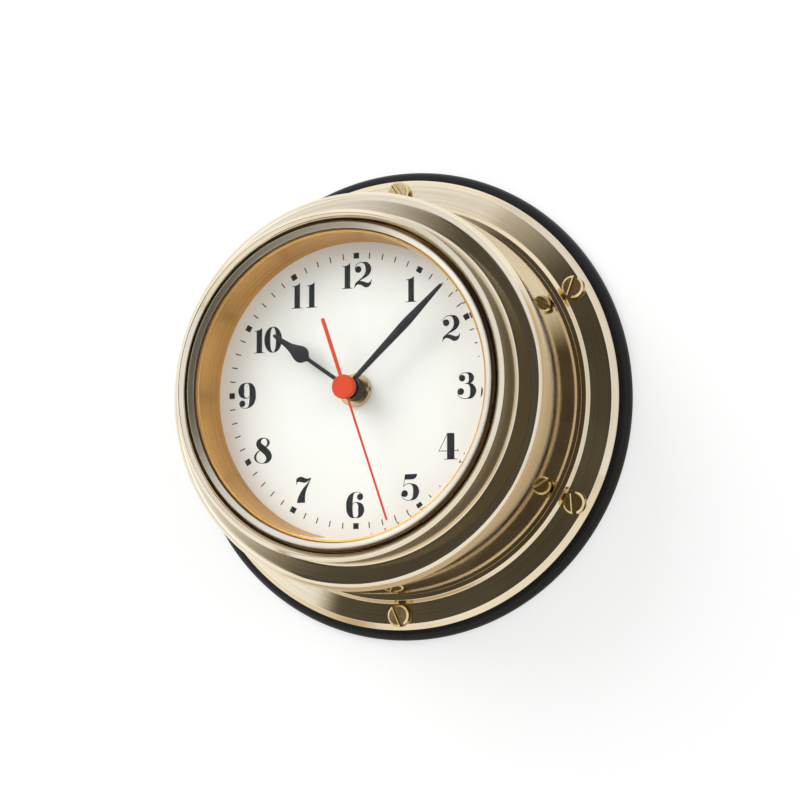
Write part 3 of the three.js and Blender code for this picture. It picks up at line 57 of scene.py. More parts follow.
# %% Camera
AZIMUTH, ELEVATION = math.radians(21.7065), math.radians(-6.7189)
DIAL_FACE, MARKER_CIRCLE = 0.0507, 0.0485
AIM_RIGHT, AIM_UP, DISTANCE = 0.3152, -0.0698, 23.8431
FOCAL_PIXELS, PICTURE_PIXELS, SENSOR = 3244.79, 800, 36

level = math.cos(ELEVATION)
back = Vector((math.sin(AZIMUTH) * level, -math.cos(AZIMUTH) * level, math.sin(ELEVATION)))
right = Vector((math.cos(AZIMUTH), math.sin(AZIMUTH), 0))
up = back.cross(right)
camera = bpy.data.objects.new("camera", bpy.data.cameras.new("camera"))
scene.collection.objects.link(camera)
axes = Matrix((right, up, back)).transposed().to_4x4()
spot = Vector((0, -DIAL_FACE, 0)) + MARKER_CIRCLE * (AIM_RIGHT * right + AIM_UP * up + DISTANCE * back)
camera.matrix_world = Matrix.Translation(spot) @ axes
camera.data.sensor_width = SENSOR
camera.data.lens = FOCAL_PIXELS / PICTURE_PIXELS * SENSOR
camera.data.clip_start = 0.01
scene.camera = camera
print("camera at", tuple(round(v, 3) for v in spot), "lens", round(camera.data.lens, 1))

# %% [markdown]
# ## Sums with sockets
# A material is a sum of small steps. They could be placed one by one in the Shader Editor, but a
# long sum is easier to read as a sum. This class holds one output socket, so a Python line such as
# `0.2 + 0.1 * grain` adds its own Math nodes. Every other node comes from `node`, which takes the
# node's type, its settings and what goes into its sockets.

# %% The socket class
class Shade:
    def __init__(self, tree, socket=None):
        self.tree, self.socket = tree, socket

    def node(self, kind, settings=None, sockets=None, out=0):
        made = self.tree.nodes.new(kind)
        for name, value in (settings or {}).items():
            setattr(made, name, value)
        for name, value in (sockets or {}).items():
            entry = made.inputs[name]
            if isinstance(value, Shade):
                self.tree.links.new(value.socket, entry)
            elif entry.type == "RGBA" and len(value) == 3:
                entry.default_value = (*value, 1)
            else:
                entry.default_value = value
        return Shade(self.tree, made.outputs[out] if made.outputs else None)

    def out(self, name):
        return Shade(self.tree, self.socket.node.outputs[name])

    def sum(self, operation, *values):
        return self.node("ShaderNodeMath", {"operation": operation}, dict(enumerate(values)))

    def __add__(self, other): return self.sum("ADD", self, other)
    def __radd__(self, other): return self.sum("ADD", other, self)
    def __sub__(self, other): return self.sum("SUBTRACT", self, other)
    def __rsub__(self, other): return self.sum("SUBTRACT", other, self)
    def __mul__(self, other): return self.sum("MULTIPLY", self, other)
    def __rmul__(self, other): return self.sum("MULTIPLY", other, self)
    def __truediv__(self, other): return self.sum("DIVIDE", self, other)
    def __rtruediv__(self, other): return self.sum("DIVIDE", other, self)
    def __pow__(self, other): return self.sum("POWER", self, other)


operators = [name for name in vars(Shade) if name.endswith(("add__", "sub__", "mul__", "div__", "pow__"))]
print("operators of Shade:", operators)

# %% [markdown]
# A few steps come back in many finishes: mixing two colours by a mask, a soft step between two values,
# and noise. A turned grain could be drawn with the angle round the axis, but an angle jumps from 180 to
# -180 degrees and leaves a seam there. So `round_noise` walks round a circle in four-dimensional noise.

# %% Steps that many finishes share
FACTOR, COLOUR_A, COLOUR_B, COLOUR_OUT = 0, 6, 7, 2


def mixed(mask, first, second):
    return mask.node("ShaderNodeMix", {"data_type": "RGBA"},
                     {FACTOR: mask, COLOUR_A: first, COLOUR_B: second}, COLOUR_OUT)


def step(value, low, high):
    return value.node("ShaderNodeMapRange", {"interpolation_type": "SMOOTHSTEP"},
                      {"Value": value, "From Min": low, "From Max": high})


def noise(at, scale, detail=2.0, rough=0.5):
    return at.node("ShaderNodeTexNoise", None,
                   {"Vector": at, "Scale": scale, "Detail": detail, "Roughness": rough})


def round_noise(x, y, h, pitch, arc, detail=2.0, rough=0.6):
    reach = (x * x + y * y) ** 0.5
    place = x.node("ShaderNodeCombineXYZ", None, {0: reach / pitch, 1: x / reach * arc, 2: y / reach * arc})
    return x.node("ShaderNodeTexNoise", {"noise_dimensions": "4D"},
                  {"Vector": place, "W": h / pitch, "Scale": 1.0, "Detail": detail, "Roughness": rough})


print("shared steps:", [helper.__name__ for helper in (mixed, step, noise, round_noise)])

# %% [markdown]
# Each finish starts and ends in the same way. `finish` makes an empty material and hands back its tree
# and the place on the object, in metres. `surface` ends it with a Principled shader and a relief, whose
# depth is also in metres. An image texture would need the shapes unwrapped; these finishes need nothing
# but the place.

# %% Start and end of a finish
FINE_RELIEF, COARSE_RELIEF = 0.00002, 0.00004


def finish(name):
    made = bpy.data.materials.new(name)
    made.use_nodes = True
    made.node_tree.nodes.clear()
    root = Shade(made.node_tree)
    return made, root, root.node("ShaderNodeTexCoord", None, None, "Object")


def surface(root, sockets, height, depth, strength):
    bump = root.node("ShaderNodeBump", None, {"Height": height, "Distance": depth, "Strength": strength})
    shader = root.node("ShaderNodeBsdfPrincipled", None, {**sockets, "Normal": bump})
    root.node("ShaderNodeOutputMaterial", None, {"Surface": shader})


print("fine relief:", FINE_RELIEF * 1e6, "thousandths of a millimetre")

# %% [markdown]
# ## Studio
# Polished brass is mostly a picture of the room. The room could be a photographed panorama, but a
# plain one is easier to steer: here it is white all round, as in a light tent. The camera sees it at
# full strength. Reflections see it a little dimmer and cooler, and it lights dull surfaces at half.

# %% World
world = bpy.data.worlds.new("studio")
scene.world = world
world.use_nodes = True
world.node_tree.nodes.clear()
SHINE_LEVEL, SHINE_TINT, FILL_LEVEL = 0.87, (0.96, 1, 1.1), 0.5
sky = Shade(world.node_tree)
ray = sky.node("ShaderNodeLightPath")
seen = sky.sum("MINIMUM", ray.out("Is Camera Ray") + ray.out("Is Transmission Ray"), 1.0)
shiny = ray.out("Is Glossy Ray") * (1 - seen)
other = (1 - seen) * (1 - ray.out("Is Glossy Ray"))
strength = seen + shiny * SHINE_LEVEL + other * FILL_LEVEL
tint = mixed(shiny, (1, 1, 1), SHINE_TINT)
light = sky.node("ShaderNodeBackground", None, {"Color": tint, "Strength": strength})
sky.node("ShaderNodeOutputWorld", None, {"Surface": light})
print("world nodes:", len(world.node_tree.nodes))

# %% [markdown]
# Four wide square lamps light the clock. The strongest stands at the upper left, which lays the soft
# shadow to the right, as in the photograph. Two stand behind the wall and light the clock's back.
# Small lamps would give hard shadows. Brass would show even these as bright squares, so they are
# hidden from reflections.

# %% Lamps
LAMP_TARGET = Vector((0, -0.03, 0))


def lamp(name, place, size, power):
    data = bpy.data.lights.new(name, "AREA")
    data.size, data.energy = size, power
    made = bpy.data.objects.new(name, data)
    scene.collection.objects.link(made)
    made.location = place
    made.rotation_euler = (LAMP_TARGET - Vector(place)).to_track_quat("-Z", "Y").to_euler()
    made.visible_glossy = False
    made.visible_camera = False
    return made


lamps = [lamp("key_left", (-1.5, -1.7, 1.3), 1.5, 34), lamp("fill_right", (1.8, -1.4, 0.5), 1.4, 9),
         lamp("rear_left", (-1.0, 1.8, 0.9), 1.2, 20), lamp("rear_right", (1.3, 1.6, 0.4), 1.2, 12)]
print("lamps:", [made.name for made in lamps])

# %% [markdown]
# The wall is a plain pale plane just behind the clock, which catches its soft shadow. To the right
# and below, brass sees it darker and warmer than the camera does. This is painted shade that stands
# for a wall in the clock's own shade, and the floor gets a faint painted shade of the same kind in
# reflections. It is clear from behind, so the clock's back can be looked at. The pale floor lies far
# below, as in a room.

# %% Wall and floor
SHADE_EDGE = (-0.02, 0.1)


def sheet(name, corners, hidden_from):
    data = bpy.data.meshes.new(name)
    data.from_pydata(corners, [], [(0, 1, 2, 3)])
    made = bpy.data.objects.new(name, data)
    scene.collection.objects.link(made)
    for rays in hidden_from:
        setattr(made, "visible_" + rays, False)
    stuff, root, at = finish(name)
    data.materials.append(stuff)
    return made, root, at


def plane(name, corners, glow, pale, shade_tint):
    made, root, at = sheet(name, corners, ("diffuse", "transmission", "shadow"))
    x = root.node("ShaderNodeSeparateXYZ", None, {"Vector": at})
    glossy = root.node("ShaderNodeLightPath", None, None, "Is Glossy Ray")
    # painted shade: glossy rays see the backdrop darker and tinted to the right and below
    mirrored = glossy * step(x - x.out("Z"), *SHADE_EDGE)
    shaded = [light * filtered for light, filtered in zip(pale, shade_tint)]
    paint = root.node("ShaderNodeBsdfDiffuse", None, {"Color": mixed(mirrored, pale, shaded)})
    shine = root.node("ShaderNodeEmission", None,
                      {"Color": mixed(mirrored, (1, 1, 1), shade_tint), "Strength": glow})
    front = root.node("ShaderNodeAddShader", None, {0: paint, 1: shine})
    clear = root.node("ShaderNodeBsdfTransparent")
    behind = root.node("ShaderNodeNewGeometry", None, None, "Backfacing")
    both = root.node("ShaderNodeMixShader", None, {0: behind, 1: front, 2: clear})
    root.node("ShaderNodeOutputMaterial", None, {"Surface": both})
    return made


WALL_BACK, FLOOR_LOW, HALF_WIDTH = 0.0004, -1.2, 3
wall = plane("wall", [(-HALF_WIDTH, WALL_BACK, FLOOR_LOW), (HALF_WIDTH, WALL_BACK, FLOOR_LOW),
                      (HALF_WIDTH, WALL_BACK, 2.5), (-HALF_WIDTH, WALL_BACK, 2.5)],
             glow=0.6, pale=(0.5, 0.5, 0.5), shade_tint=(0.60, 0.50, 0.36))
floor = plane("floor", [(-HALF_WIDTH, -4, FLOOR_LOW), (HALF_WIDTH, -4, FLOOR_LOW),
                        (HALF_WIDTH, 2, FLOOR_LOW), (-HALF_WIDTH, 2, FLOOR_LOW)],
              glow=0.55, pale=(0.5, 0.5, 0.495), shade_tint=(0.92, 0.92, 0.94))
print("wall faces", tuple(wall.data.polygons[0].normal), "floor faces", tuple(floor.data.polygons[0].normal))

# %% [markdown]
# The front of the tent is a glowing card with a wide, dark, warm mouth, where the camera stood. Only
# the brass sees it. Real cloth with an opening would do the same with many more pieces. The mouth's
# left edge slants a little and runs through the mirror direction of the flat faces, so that these pass
# from bright on the left to dark on the right over their own width. The cloth is cooler than the
# dark inside, and brighter at its far left. The inside is a little uneven, as a room is.

# %% The tent's mouth
MOUTH_LEFT, MOUTH_RIGHT, MOUTH_LOW, MOUTH_TOP = (-0.60, -0.46), (1.4, 1.7), (-2.4, -1.6), (0.5, 0.9)
MOUTH_SLANT, FAR_LEFT = 0.5, (0.6, 1.6)
CLOTH, OPENING = (0.95, 1, 1.13), (1, 0.9, 0.72)


def card(name, y, reach):
    corners = [(-reach, y, -reach), (reach, y, -reach), (reach, y, reach), (-reach, y, reach)]
    made, root, at = sheet(name, corners, ("camera", "diffuse", "transmission", "shadow"))
    x = root.node("ShaderNodeSeparateXYZ", None, {"Vector": at})
    z = x.out("Z")
    across = step(x - MOUTH_SLANT * z, *MOUTH_LEFT) * (1 - step(x, *MOUTH_RIGHT))
    upright = step(z, *MOUTH_LOW) * (1 - step(z, *MOUTH_TOP))
    dark = across * upright
    low = 0.045 + 0.07 * noise(at, 4, 2)
    bright = 0.94 + 0.5 * step(0 - x, *FAR_LEFT)
    glow = root.node("ShaderNodeEmission", None, {"Color": mixed(dark, CLOTH, OPENING),
                                                  "Strength": bright * (1 - dark) + low * dark})
    root.node("ShaderNodeOutputMaterial", None, {"Surface": glow})
    return made


tent = card("tent_front", -1.1, 3.2)
print("the tent's front is", round(tent.dimensions.x, 1), "m wide")

# %% [markdown]
# ## Brass
# The case is turned on a lathe and lacquered. A cutting tool leaves fine grooves that run round the
# axis, so light smears across them. Modelled grooves would need millions of faces, so here they are
# noise that changes quickly with the radius and the height but slowly round the clock. They move the
# normal, the roughness and, a little, the colour. The nose of the bezel is duller than the rest, as
# hands take hold of it there.

# %% Turned brass
FINE_PITCH, BROAD_PITCH = 0.00016, 0.0011
NOSE_FOOT, NOSE_TOP = (0.0562, 0.0575), (0.0682, 0.0692)


def turned_brass(name, colour, deep, rough, grooves=0.3, lie=0.55, dull=0.0):
    made, root, at = finish(name)
    x = root.node("ShaderNodeSeparateXYZ", None, {"Vector": at})
    y, h = x.out("Y"), x.out("Z")
    fine = round_noise(x, y, h, FINE_PITCH, 2.0)
    broad = round_noise(x, y, h, BROAD_PITCH, 0.8)
    cloud = noise(at, 45, 3)
    worn = step(fine * 0.35 + broad * 0.45 + cloud * 0.2, 0.38, 0.66)
    nose = step(h, *NOSE_FOOT) * (1 - step(h, *NOSE_TOP))
    surface(root, {"Base Color": mixed(worn, colour, deep), "Metallic": 1.0,
                   "Roughness": rough + 0.03 * worn + 0.015 * cloud + dull * nose,
                   "Anisotropic": lie, "Anisotropic Rotation": 0.25},
            fine * 0.75 + broad * 0.25, FINE_RELIEF, grooves)
    return made


case_brass = turned_brass("case_brass", (0.88, 0.77, 0.57), (0.75, 0.60, 0.38), 0.04)
bezel_brass = turned_brass("bezel_brass", (0.89, 0.79, 0.61), (0.78, 0.65, 0.44), 0.012, dull=0.2)
ring_brass = turned_brass("ring_brass", (0.73, 0.40, 0.11), (0.58, 0.30, 0.07), 0.34, 0.4)
screw_brass = turned_brass("screw_brass", (0.88, 0.70, 0.38), (0.74, 0.54, 0.24), 0.15, 0.3, 0.4)
retainer_brass = turned_brass("retainer_brass", (0.92, 0.84, 0.68), (0.80, 0.70, 0.52), 0.28)
brasses = (case_brass, bezel_brass, ring_brass, screw_brass, retainer_brass)
print("brass finishes:", [brass.name for brass in brasses])

# %% [markdown]
# ## Rubber, paint and glass
# The backing board is painted black, with a faint grain under the paint. The band round it is moulded
# rubber, which has a soft sheen. Dial paint is nearly white and slightly pebbled. Hands are painted
# too. All of these are one plain colour with a fine grain, so one function with different numbers
# makes them. Ink and hands get little gloss, because they lie behind glass and must stay dark.

# %% Painted and moulded finishes
def coated(name, colour, deep, rough, scale, bump=0.2, depth=FINE_RELIEF, stretch=(1, 1, 1), **sockets):
    made, root, at = finish(name)
    drawn = root.node("ShaderNodeMapping", None, {"Vector": at, "Scale": stretch})
    grain = noise(drawn, scale, 4, 0.6)
    cloud = noise(at, 35, 3)
    mask = step(grain * 0.6 + cloud * 0.4, 0.35, 0.68)
    surface(root, {"Base Color": mixed(mask, colour, deep), "Roughness": rough + 0.1 * (mask - 0.5),
                   **sockets}, grain, depth, bump)
    return made


FLAT = {"Specular IOR Level": 0.15}
board_black = coated("board_black", (0.017, 0.016, 0.015), (0.028, 0.026, 0.024), 0.5, 1600, 0.4,
                     COARSE_RELIEF, (1, 1, 0.15))
band_rubber = coated("band_rubber", (0.010, 0.010, 0.011), (0.016, 0.016, 0.017), 0.42, 5200, 0.25,
                     **{"Specular IOR Level": 0.2})
dial_paint = coated("dial_paint", (0.82, 0.81, 0.785), (0.80, 0.79, 0.765), 0.42, 5200, 0.12)
print_ink = coated("print_ink", (0.016, 0.018, 0.022), (0.022, 0.024, 0.029), 0.5, 6000, 0.1, **FLAT)
hand_paint = coated("hand_paint", (0.017, 0.017, 0.019), (0.025, 0.025, 0.027), 0.4, 5200, 0.15, **FLAT)
red_paint = coated("red_paint", (0.66, 0.062, 0.018), (0.61, 0.052, 0.015), 0.38, 5200, 0.12, **FLAT)
seal_cork = coated("seal_cork", (0.34, 0.18, 0.07), (0.26, 0.13, 0.05), 0.7, 3000, 0.3)
nut_brass = coated("nut_brass", (0.66, 0.52, 0.30), (0.56, 0.43, 0.24), 0.24, 4200, 0.15, Metallic=1.0)
coats = (board_black, band_rubber, dial_paint, print_ink, hand_paint, red_paint, seal_cork, nut_brass)
print("coated finishes:", [coat.name for coat in coats])

# %% [markdown]
# The glass bends light by the usual 1.5. It is coated against reflections, so most of it only bends,
# and a small share is the full glass of the Principled shader. Lamps would leave a dark dial behind it,
# because a bent light path is hard to find from a lamp. So its shadow is that of clear glass.

# %% Glass
GLASS_TINT, GLASS_SHADOW, GLASS_BEND, COATING = (0.985, 0.995, 0.99), (0.95, 0.96, 0.955), 1.5, 0.85
clear_glass, root, at = finish("clear_glass")
smear = step(noise(at, 45, 4, 0.6), 0.45, 0.8)
body = root.node("ShaderNodeBsdfPrincipled", None,
                 {"Base Color": GLASS_TINT, "Roughness": 0.002 + 0.008 * smear, "IOR": GLASS_BEND,
                  "Transmission Weight": 1.0})
bent = root.node("ShaderNodeBsdfRefraction", None, {"Color": GLASS_TINT, "Roughness": 0.0, "IOR": GLASS_BEND})
coated_pane = root.node("ShaderNodeMixShader", None, {0: COATING, 1: body, 2: bent})
through = root.node("ShaderNodeBsdfTransparent", None, {"Color": GLASS_SHADOW})
shadow = root.node("ShaderNodeLightPath", None, None, "Is Shadow Ray")
pane_mix = root.node("ShaderNodeMixShader", None, {0: shadow, 1: coated_pane, 2: through})
root.node("ShaderNodeOutputMaterial", None, {"Surface": pane_mix})
print("nodes in the glass:", len(clear_glass.node_tree.nodes))

# %% [markdown]
# ## Forms
# All pieces of a clock lie round one axis, so they are written in the lathe's own terms: x and y across
# the dial, and h outwards from the wall, in millimetres. Two helpers work on any mesh. `joined` closes
# it, and `carve` cuts away what a saw or a drill would take. The cutting is a Boolean modifier, whose
# result is kept at once as a plain mesh, so that no piece depends on its tool.

# %% Joining and cutting
MM = 1000  # millimetres in a metre


def joined(made):
    """Joins points that lie on each other and turns every face outwards."""
    mesh = bmesh.new()
    mesh.from_mesh(made.data)
    bmesh.ops.remove_doubles(mesh, verts=mesh.verts, dist=1e-8)
    bmesh.ops.recalc_face_normals(mesh, faces=mesh.faces)
    mesh.to_mesh(made.data)
    mesh.free()


def carve(made, tool):
    """Cuts the tool, a form in the same terms, out of the piece."""
    data = bpy.data.meshes.new("tool")
    data.from_pydata(tool.points, [], tool.faces)
    cutter = bpy.data.objects.new("tool", data)
    scene.collection.objects.link(cutter)
    cutter.matrix_world = made.matrix_world
    joined(cutter)
    saw = made.modifiers.new("cut", "BOOLEAN")
    saw.operation, saw.solver, saw.object = "DIFFERENCE", "EXACT", cutter
    bpy.context.view_layer.update()
    shape = bpy.data.meshes.new_from_object(made.evaluated_get(bpy.context.evaluated_depsgraph_get()))
    made.modifiers.clear()
    made.data = shape
    bpy.data.objects.remove(cutter)


print("helpers:", joined.__name__, carve.__name__)

# %% [markdown]
# A form is a grid of points whose rows are joined by faces. A ring could be a curve with a Screw
# modifier and a hand an extruded outline, but turned rings, lofted hands and prisms are all such grids.
# `make` turns a form into an object, stands it up on the wall, and says which body it rides on and
# which solid it stands for.

# %% Grids of points
class Form:
    def __init__(self):
        self.points, self.faces = [], []

    def grid(self, rows, ring=False, caps=False):
        first, wide = len(self.points), len(rows[0])
        for row in rows:
            self.points.extend((x / MM, y / MM, h / MM) for x, y, h in row)
        count = len(rows)
        for i in range(count if ring else count - 1):
            a, b = first + i * wide, first + (i + 1) % count * wide
            for j in range(wide):
                k = (j + 1) % wide
                self.faces.append((a + j, a + k, b + k, b + j))
        if caps:
            self.faces.append(tuple(first + j for j in reversed(range(wide))))
            self.faces.append(tuple(first + (count - 1) * wide + j for j in range(wide)))
        return self

    def make(self, name, stuff, body, stands_for=None, slot=None, place=(0, 0), turn=0.0, crease=32,
             cut=()):
        data = bpy.data.meshes.new(name)
        data.from_pydata(self.points, [], self.faces)
        made = bpy.data.objects.new(name, data)
        scene.collection.objects.link(made)
        stood = Matrix.Rotation(math.radians(90), 4, "X") @ Matrix.Rotation(turn, 4, "Z")
        made.matrix_world = Matrix.Translation((place[0] / MM, 0, place[1] / MM)) @ stood
        joined(made)
        for tool in cut:
            carve(made, tool)
        data = made.data
        data.materials.clear()
        data.materials.append(stuff)
        data.shade_smooth()
        data.set_sharp_from_angle(angle=math.radians(crease))
        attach(made, body)
        if stands_for:
            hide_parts(stands_for)
        return made


cube = Form().grid([[(0, 0, h), (1, 0, h), (1, 1, h), (0, 1, h)] for h in (0, 1)], caps=True)
print("a cube as a form has", len(cube.faces), "faces")

# %% [markdown]
# A turned edge is never knife-sharp, and that small round is what catches the light as a bright line.
# A Bevel modifier could add it, but in a profile each corner is rounded once for the whole ring.
# `eased` rounds the corners, and puts one more point beside each round, so that the smooth shading of
# the round doesn't spread over the flat beside it. `lathe` then turns the profile round the axis.

# %% Rounded profiles
SIDE_SHARE, GUARD, GUARD_SHARE, DEGREES_A_STEP = 0.38, 0.12, 0.25, 18


def eased(profile, radius=0.25, closed=True, keep=14):
    done, count = [], len(profile)
    for i, p in enumerate(profile):
        if not closed and i in (0, count - 1):
            done.append(tuple(p))
            continue
        p, a, b = Vector(p), Vector(profile[i - 1]), Vector(profile[(i + 1) % count])
        u, v = a - p, b - p
        la, lb = u.length, v.length
        u, v = u / la, v / lb
        inside = math.acos(max(-1, min(1, u.dot(v))))
        bend = math.pi - inside
        if math.degrees(bend) < keep:
            done.append(tuple(p))
            continue
        t = min(radius * math.tan(bend / 2), SIDE_SHARE * la, SIDE_SHARE * lb)
        r = t / math.tan(bend / 2)
        hub = p + (u + v).normalized() * (r / math.sin(inside / 2))
        start, end = p + u * t, p + v * t
        done.append(tuple(start + u * min(GUARD, GUARD_SHARE * (la - t))))
        steps = max(2, round(math.degrees(bend) / DEGREES_A_STEP))
        from_hub, to_hub = start - hub, end - hub
        for k in range(steps + 1):
            low, high = math.sin((1 - k / steps) * bend), math.sin(k / steps * bend)
            done.append(tuple(hub + (from_hub * low + to_hub * high) / math.sin(bend)))
        done.append(tuple(end + v * min(GUARD, GUARD_SHARE * (lb - t))))
    return done


def round_points(count, radius, x=0.0, y=0.0):
    return [(x + radius * math.cos(t), y + radius * math.sin(t))
            for t in [math.radians(360 // count * k) for k in range(count)]]


def lathe(form, profile, segments=288, sweep=360.0, start=0.0):
    full = sweep >= 360
    count = segments if full else segments + 1
    rows = []
    for k in range(count):
        t = math.radians(start + sweep * k / segments)
        rows.append([(r * math.cos(t), r * math.sin(t), h) for r, h in profile])
    return form.grid(rows, ring=full, caps=not full)


print("a square corner becomes", len(eased([(0, 0), (9, 0), (9, 9), (0, 9)])) // 4, "points")

# %% [markdown]
# ## Board and band
# The clock stands on a black disc with a rubber band pressed round its edge. The disc's solid is right
# as it is. The band meets itself at six o'clock, so it is swept almost all the way round and leaves a
# hair of a gap there. A full ring with a painted line would look joined in the light.

# %% Board and band
BAND_BORE, BAND_OUTER, BAND_HEIGHT, SEAM_HALF = 83.2, 87, 5.6, 0.06
ROLL_FOOT, ROLL_INWARDS, ROLL_UPWARDS = 1.87, 3.1, 3.73
roll = [(BAND_OUTER - ROLL_INWARDS * (1 - math.cos(t)), ROLL_FOOT + ROLL_UPWARDS * math.sin(t))
        for t in [math.radians(9 * k) for k in range(1, 11)]]
section = [(BAND_BORE, 0), (86.38, 0), (BAND_OUTER, 0.7), (BAND_OUTER, ROLL_FOOT)] + roll + [
    (BAND_BORE, BAND_HEIGHT)]
seam = math.degrees(SEAM_HALF / 84)
band = lathe(Form(), eased(section, 0.35), 320, 360 - 2 * seam, -90 + seam)
edge_band = band.make("edge_band_moulded", band_rubber, "case", "edge_band", "band_rubber")
print("band reaches", round(max(v.co.x for v in edge_band.data.vertices) * MM, 2), "mm")

# %% [markdown]
# ## Case
# The case is one turned shell: a sloping flange with a chamfered rim, a small step up to a flat floor,
# and a straight neck that goes up inside the bezel. It could be joined from plain rings, but one
# closed profile, turned once, leaves no seams between them. Then six seats are cut for the screws,
# which stand every sixty degrees, from twelve o'clock on.

# %% Case
FLANGE_EDGE = [(79.5, 5.6), (83.9, 5.6), (81.3, 8.2)]
STEP_AND_FLOOR = [(73.9, 9.9), (72.7, 11.4), (65.4, 11.4)]
NECK_AND_LEDGE = [(65.4, 52.3), (63.4, 52.3), (63.4, 49.7), (57.5, 49.7), (57.5, 47.7), (63.4, 47.7)]
UNDERSIDE = [(63.4, 9.4), (71.9, 7.9), (79.5, 6.8)]
SCREW_RING, SEAT, SEAT_RADIUS, SEAT_CLEAR = 78.3, 8.889, 4.4, 16
screw_places = [(SCREW_RING * math.sin(a), SCREW_RING * math.cos(a))
                for a in [math.radians(60 * i) for i in range(6)]]
seats = [Form().grid([[(x, y, h) for x, y in round_points(60, SEAT_RADIUS, *place)]
                      for h in (SEAT, SEAT_CLEAR)], caps=True) for place in screw_places]
case = lathe(Form(), eased(FLANGE_EDGE + STEP_AND_FLOOR + NECK_AND_LEDGE + UNDERSIDE, 0.3)).make(
    "case_turned", case_brass, "case", "case_body", "case_brass", cut=seats, crease=30)
print("case faces:", len(case.data.polygons))

# %% [markdown]
# ## Bezel
# The bezel is the drum of the clock with its front. A long wall rises from the floor of the case and
# flares by less than a millimetre. It rolls over a round shoulder to a flat track, and a tight cove
# leads up to the nose, which ends in a sharp lip. The collar inside screws over the neck. The shoulder
# and the cove are arcs, because polished brass shows every corner of a coarser line as a stripe.

# %% Bezel
WALL_TOP, SHOULDER_EDGE, SHOULDER_RISE, SHOULDER_WIDTH = 50.0, 68.1, 4.9, 3.6
COVE_EDGE, COVE_TOP, COVE = 63.6, 56.4, 1.5
wall_line = [(69.0, 11.4), (71.0, 11.4), (71.7, WALL_TOP)]
shoulder = [(SHOULDER_EDGE + SHOULDER_WIDTH * math.cos(t), WALL_TOP + SHOULDER_RISE * math.sin(t))
            for t in [math.radians(7.5 * k) for k in range(1, 13)]]
track = [(67.9, 54.9), (63.8, 54.9)]
cove = [(COVE_EDGE - COVE * math.sin(t), COVE_TOP - COVE * math.cos(t))
        for t in [math.radians(10 * k) for k in range(10)]]
nose_and_lip = [(62.5, 69.2), (61.0, 70.7), (59.3, 69.0)]
collar = [(59.3, 55.0), (61.7, 52.9), (65.8, 52.9), (65.8, 37.9), (69.7, 35.9)]
bezel = lathe(Form(), eased(wall_line + shoulder + track + cove + nose_and_lip + collar, 0.22)).make(
    "bezel_turned", bezel_brass, "case", "bezel", "case_brass")
print("bezel faces:", len(bezel.data.polygons))

# %% [markdown]
# ## Rings and glass
# Inside the bezel, a golden ring stands between the dial and the glass, and a narrow ring lies over the
# glass's edge. The glass is a thick plate whose edge is ground to a wide bevel. The bevel bends what
# lies behind it, which is why the squares near it show twice. A flat disc with a clear material would
# be quicker, but it couldn't do that, so the glass is a closed solid of its true thickness.

# %% Rings and glass
DIAL_TOP, GLASS_BACK, GLASS_FRONT = 50.7, 67.1, 69.5
ring_profile = [(53.4, DIAL_TOP), (63.1, DIAL_TOP), (63.1, 52.2), (54.8, 52.2), (55.7, 64.1), (59.0, 64.1),
                (59.0, 66.1), (55.2, 66.1), (55.2, 66.7), (54.3, 66.7)]
inner_ring = lathe(Form(), eased(ring_profile, 0.15)).make(
    "inner_ring_turned", ring_brass, "case", "inner_ring", "inner_ring_brass")
retainer_profile = [(55.7, 69.1), (57.9, 69.1), (57.9, 69.9), (57.5, 70.3), (55.7, 69.35)]
retainer = lathe(Form(), eased(retainer_profile, 0.12)).make(
    "glass_retaining_ring_turned", retainer_brass, "case", "glass_retaining_ring", "case_brass")
glass_profile = [(0, GLASS_BACK), (58.2, GLASS_BACK), (58.4, GLASS_BACK), (58.6, 67.3), (58.6, 68.9),
                 (58.4, 69.1), (55.8, 69.1), (55.7, 69.11), (54.3, 69.48), (54.2, GLASS_FRONT),
                 (53.8, GLASS_FRONT), (0, GLASS_FRONT)]
pane = lathe(Form(), glass_profile, 256).make(
    "glass_ground", clear_glass, "case", "glass", "clear_glass", crease=20)
print("rings:", inner_ring.name, retainer.name)
print(pane.name, "is", round(GLASS_FRONT - GLASS_BACK, 2), "mm thick")

# %% [markdown]
# ## Dial
# The dial is a flat painted disc with a hole for the bush. It is turned like the rings, so that its
# edges are soft too. Its paint is a finish, and only what is printed on it gets a form of its own.

# %% Dial plate
DIAL_BORE, DIAL_RADIUS, DIAL_BACK = 4.1, 62.8, 49.7
dial_profile = [(DIAL_BORE, DIAL_BACK), (DIAL_RADIUS, DIAL_BACK), (DIAL_RADIUS, DIAL_TOP),
                (DIAL_BORE, DIAL_TOP)]
dial = lathe(Form(), eased(dial_profile, 0.1)).make(
    "dial_painted", dial_paint, "case", "dial_plate", "dial_white")
print("dial radius", round(dial.dimensions.x / 2 * MM, 1), "mm")

# %% [markdown]
# The numerals are in the old fat-face style: heavy upright strokes, hairlines, and round balls at the
# ends. A text object would need a font file with just these shapes. So each figure is drawn here with
# a pen stroke whose width changes along its spine, which needs few points. The numerals are printed,
# so they are films of ink that stand 0.04 mm above the dial.

# %% Strokes, balls and plates of ink
INK_LOW, INK_TOP = 50.69, 50.74


def curve_through(points, steps=7, closed=False):
    done, n = [], len(points)
    for i in range(n if closed else n - 1):
        p = [points[(i + k) % n] if closed else points[max(0, min(n - 1, i + k))] for k in (-1, 0, 1, 2)]
        for k in range(steps):
            t = k / steps
            done.append(tuple(0.5 * (2 * b + (c - a) * t + (2 * a - 5 * b + 4 * c - d) * t * t
                                     + (3 * b - a - 3 * c + d) * t ** 3) for a, b, c, d in zip(*p)))
    return done if closed else done + [tuple(points[-1])]


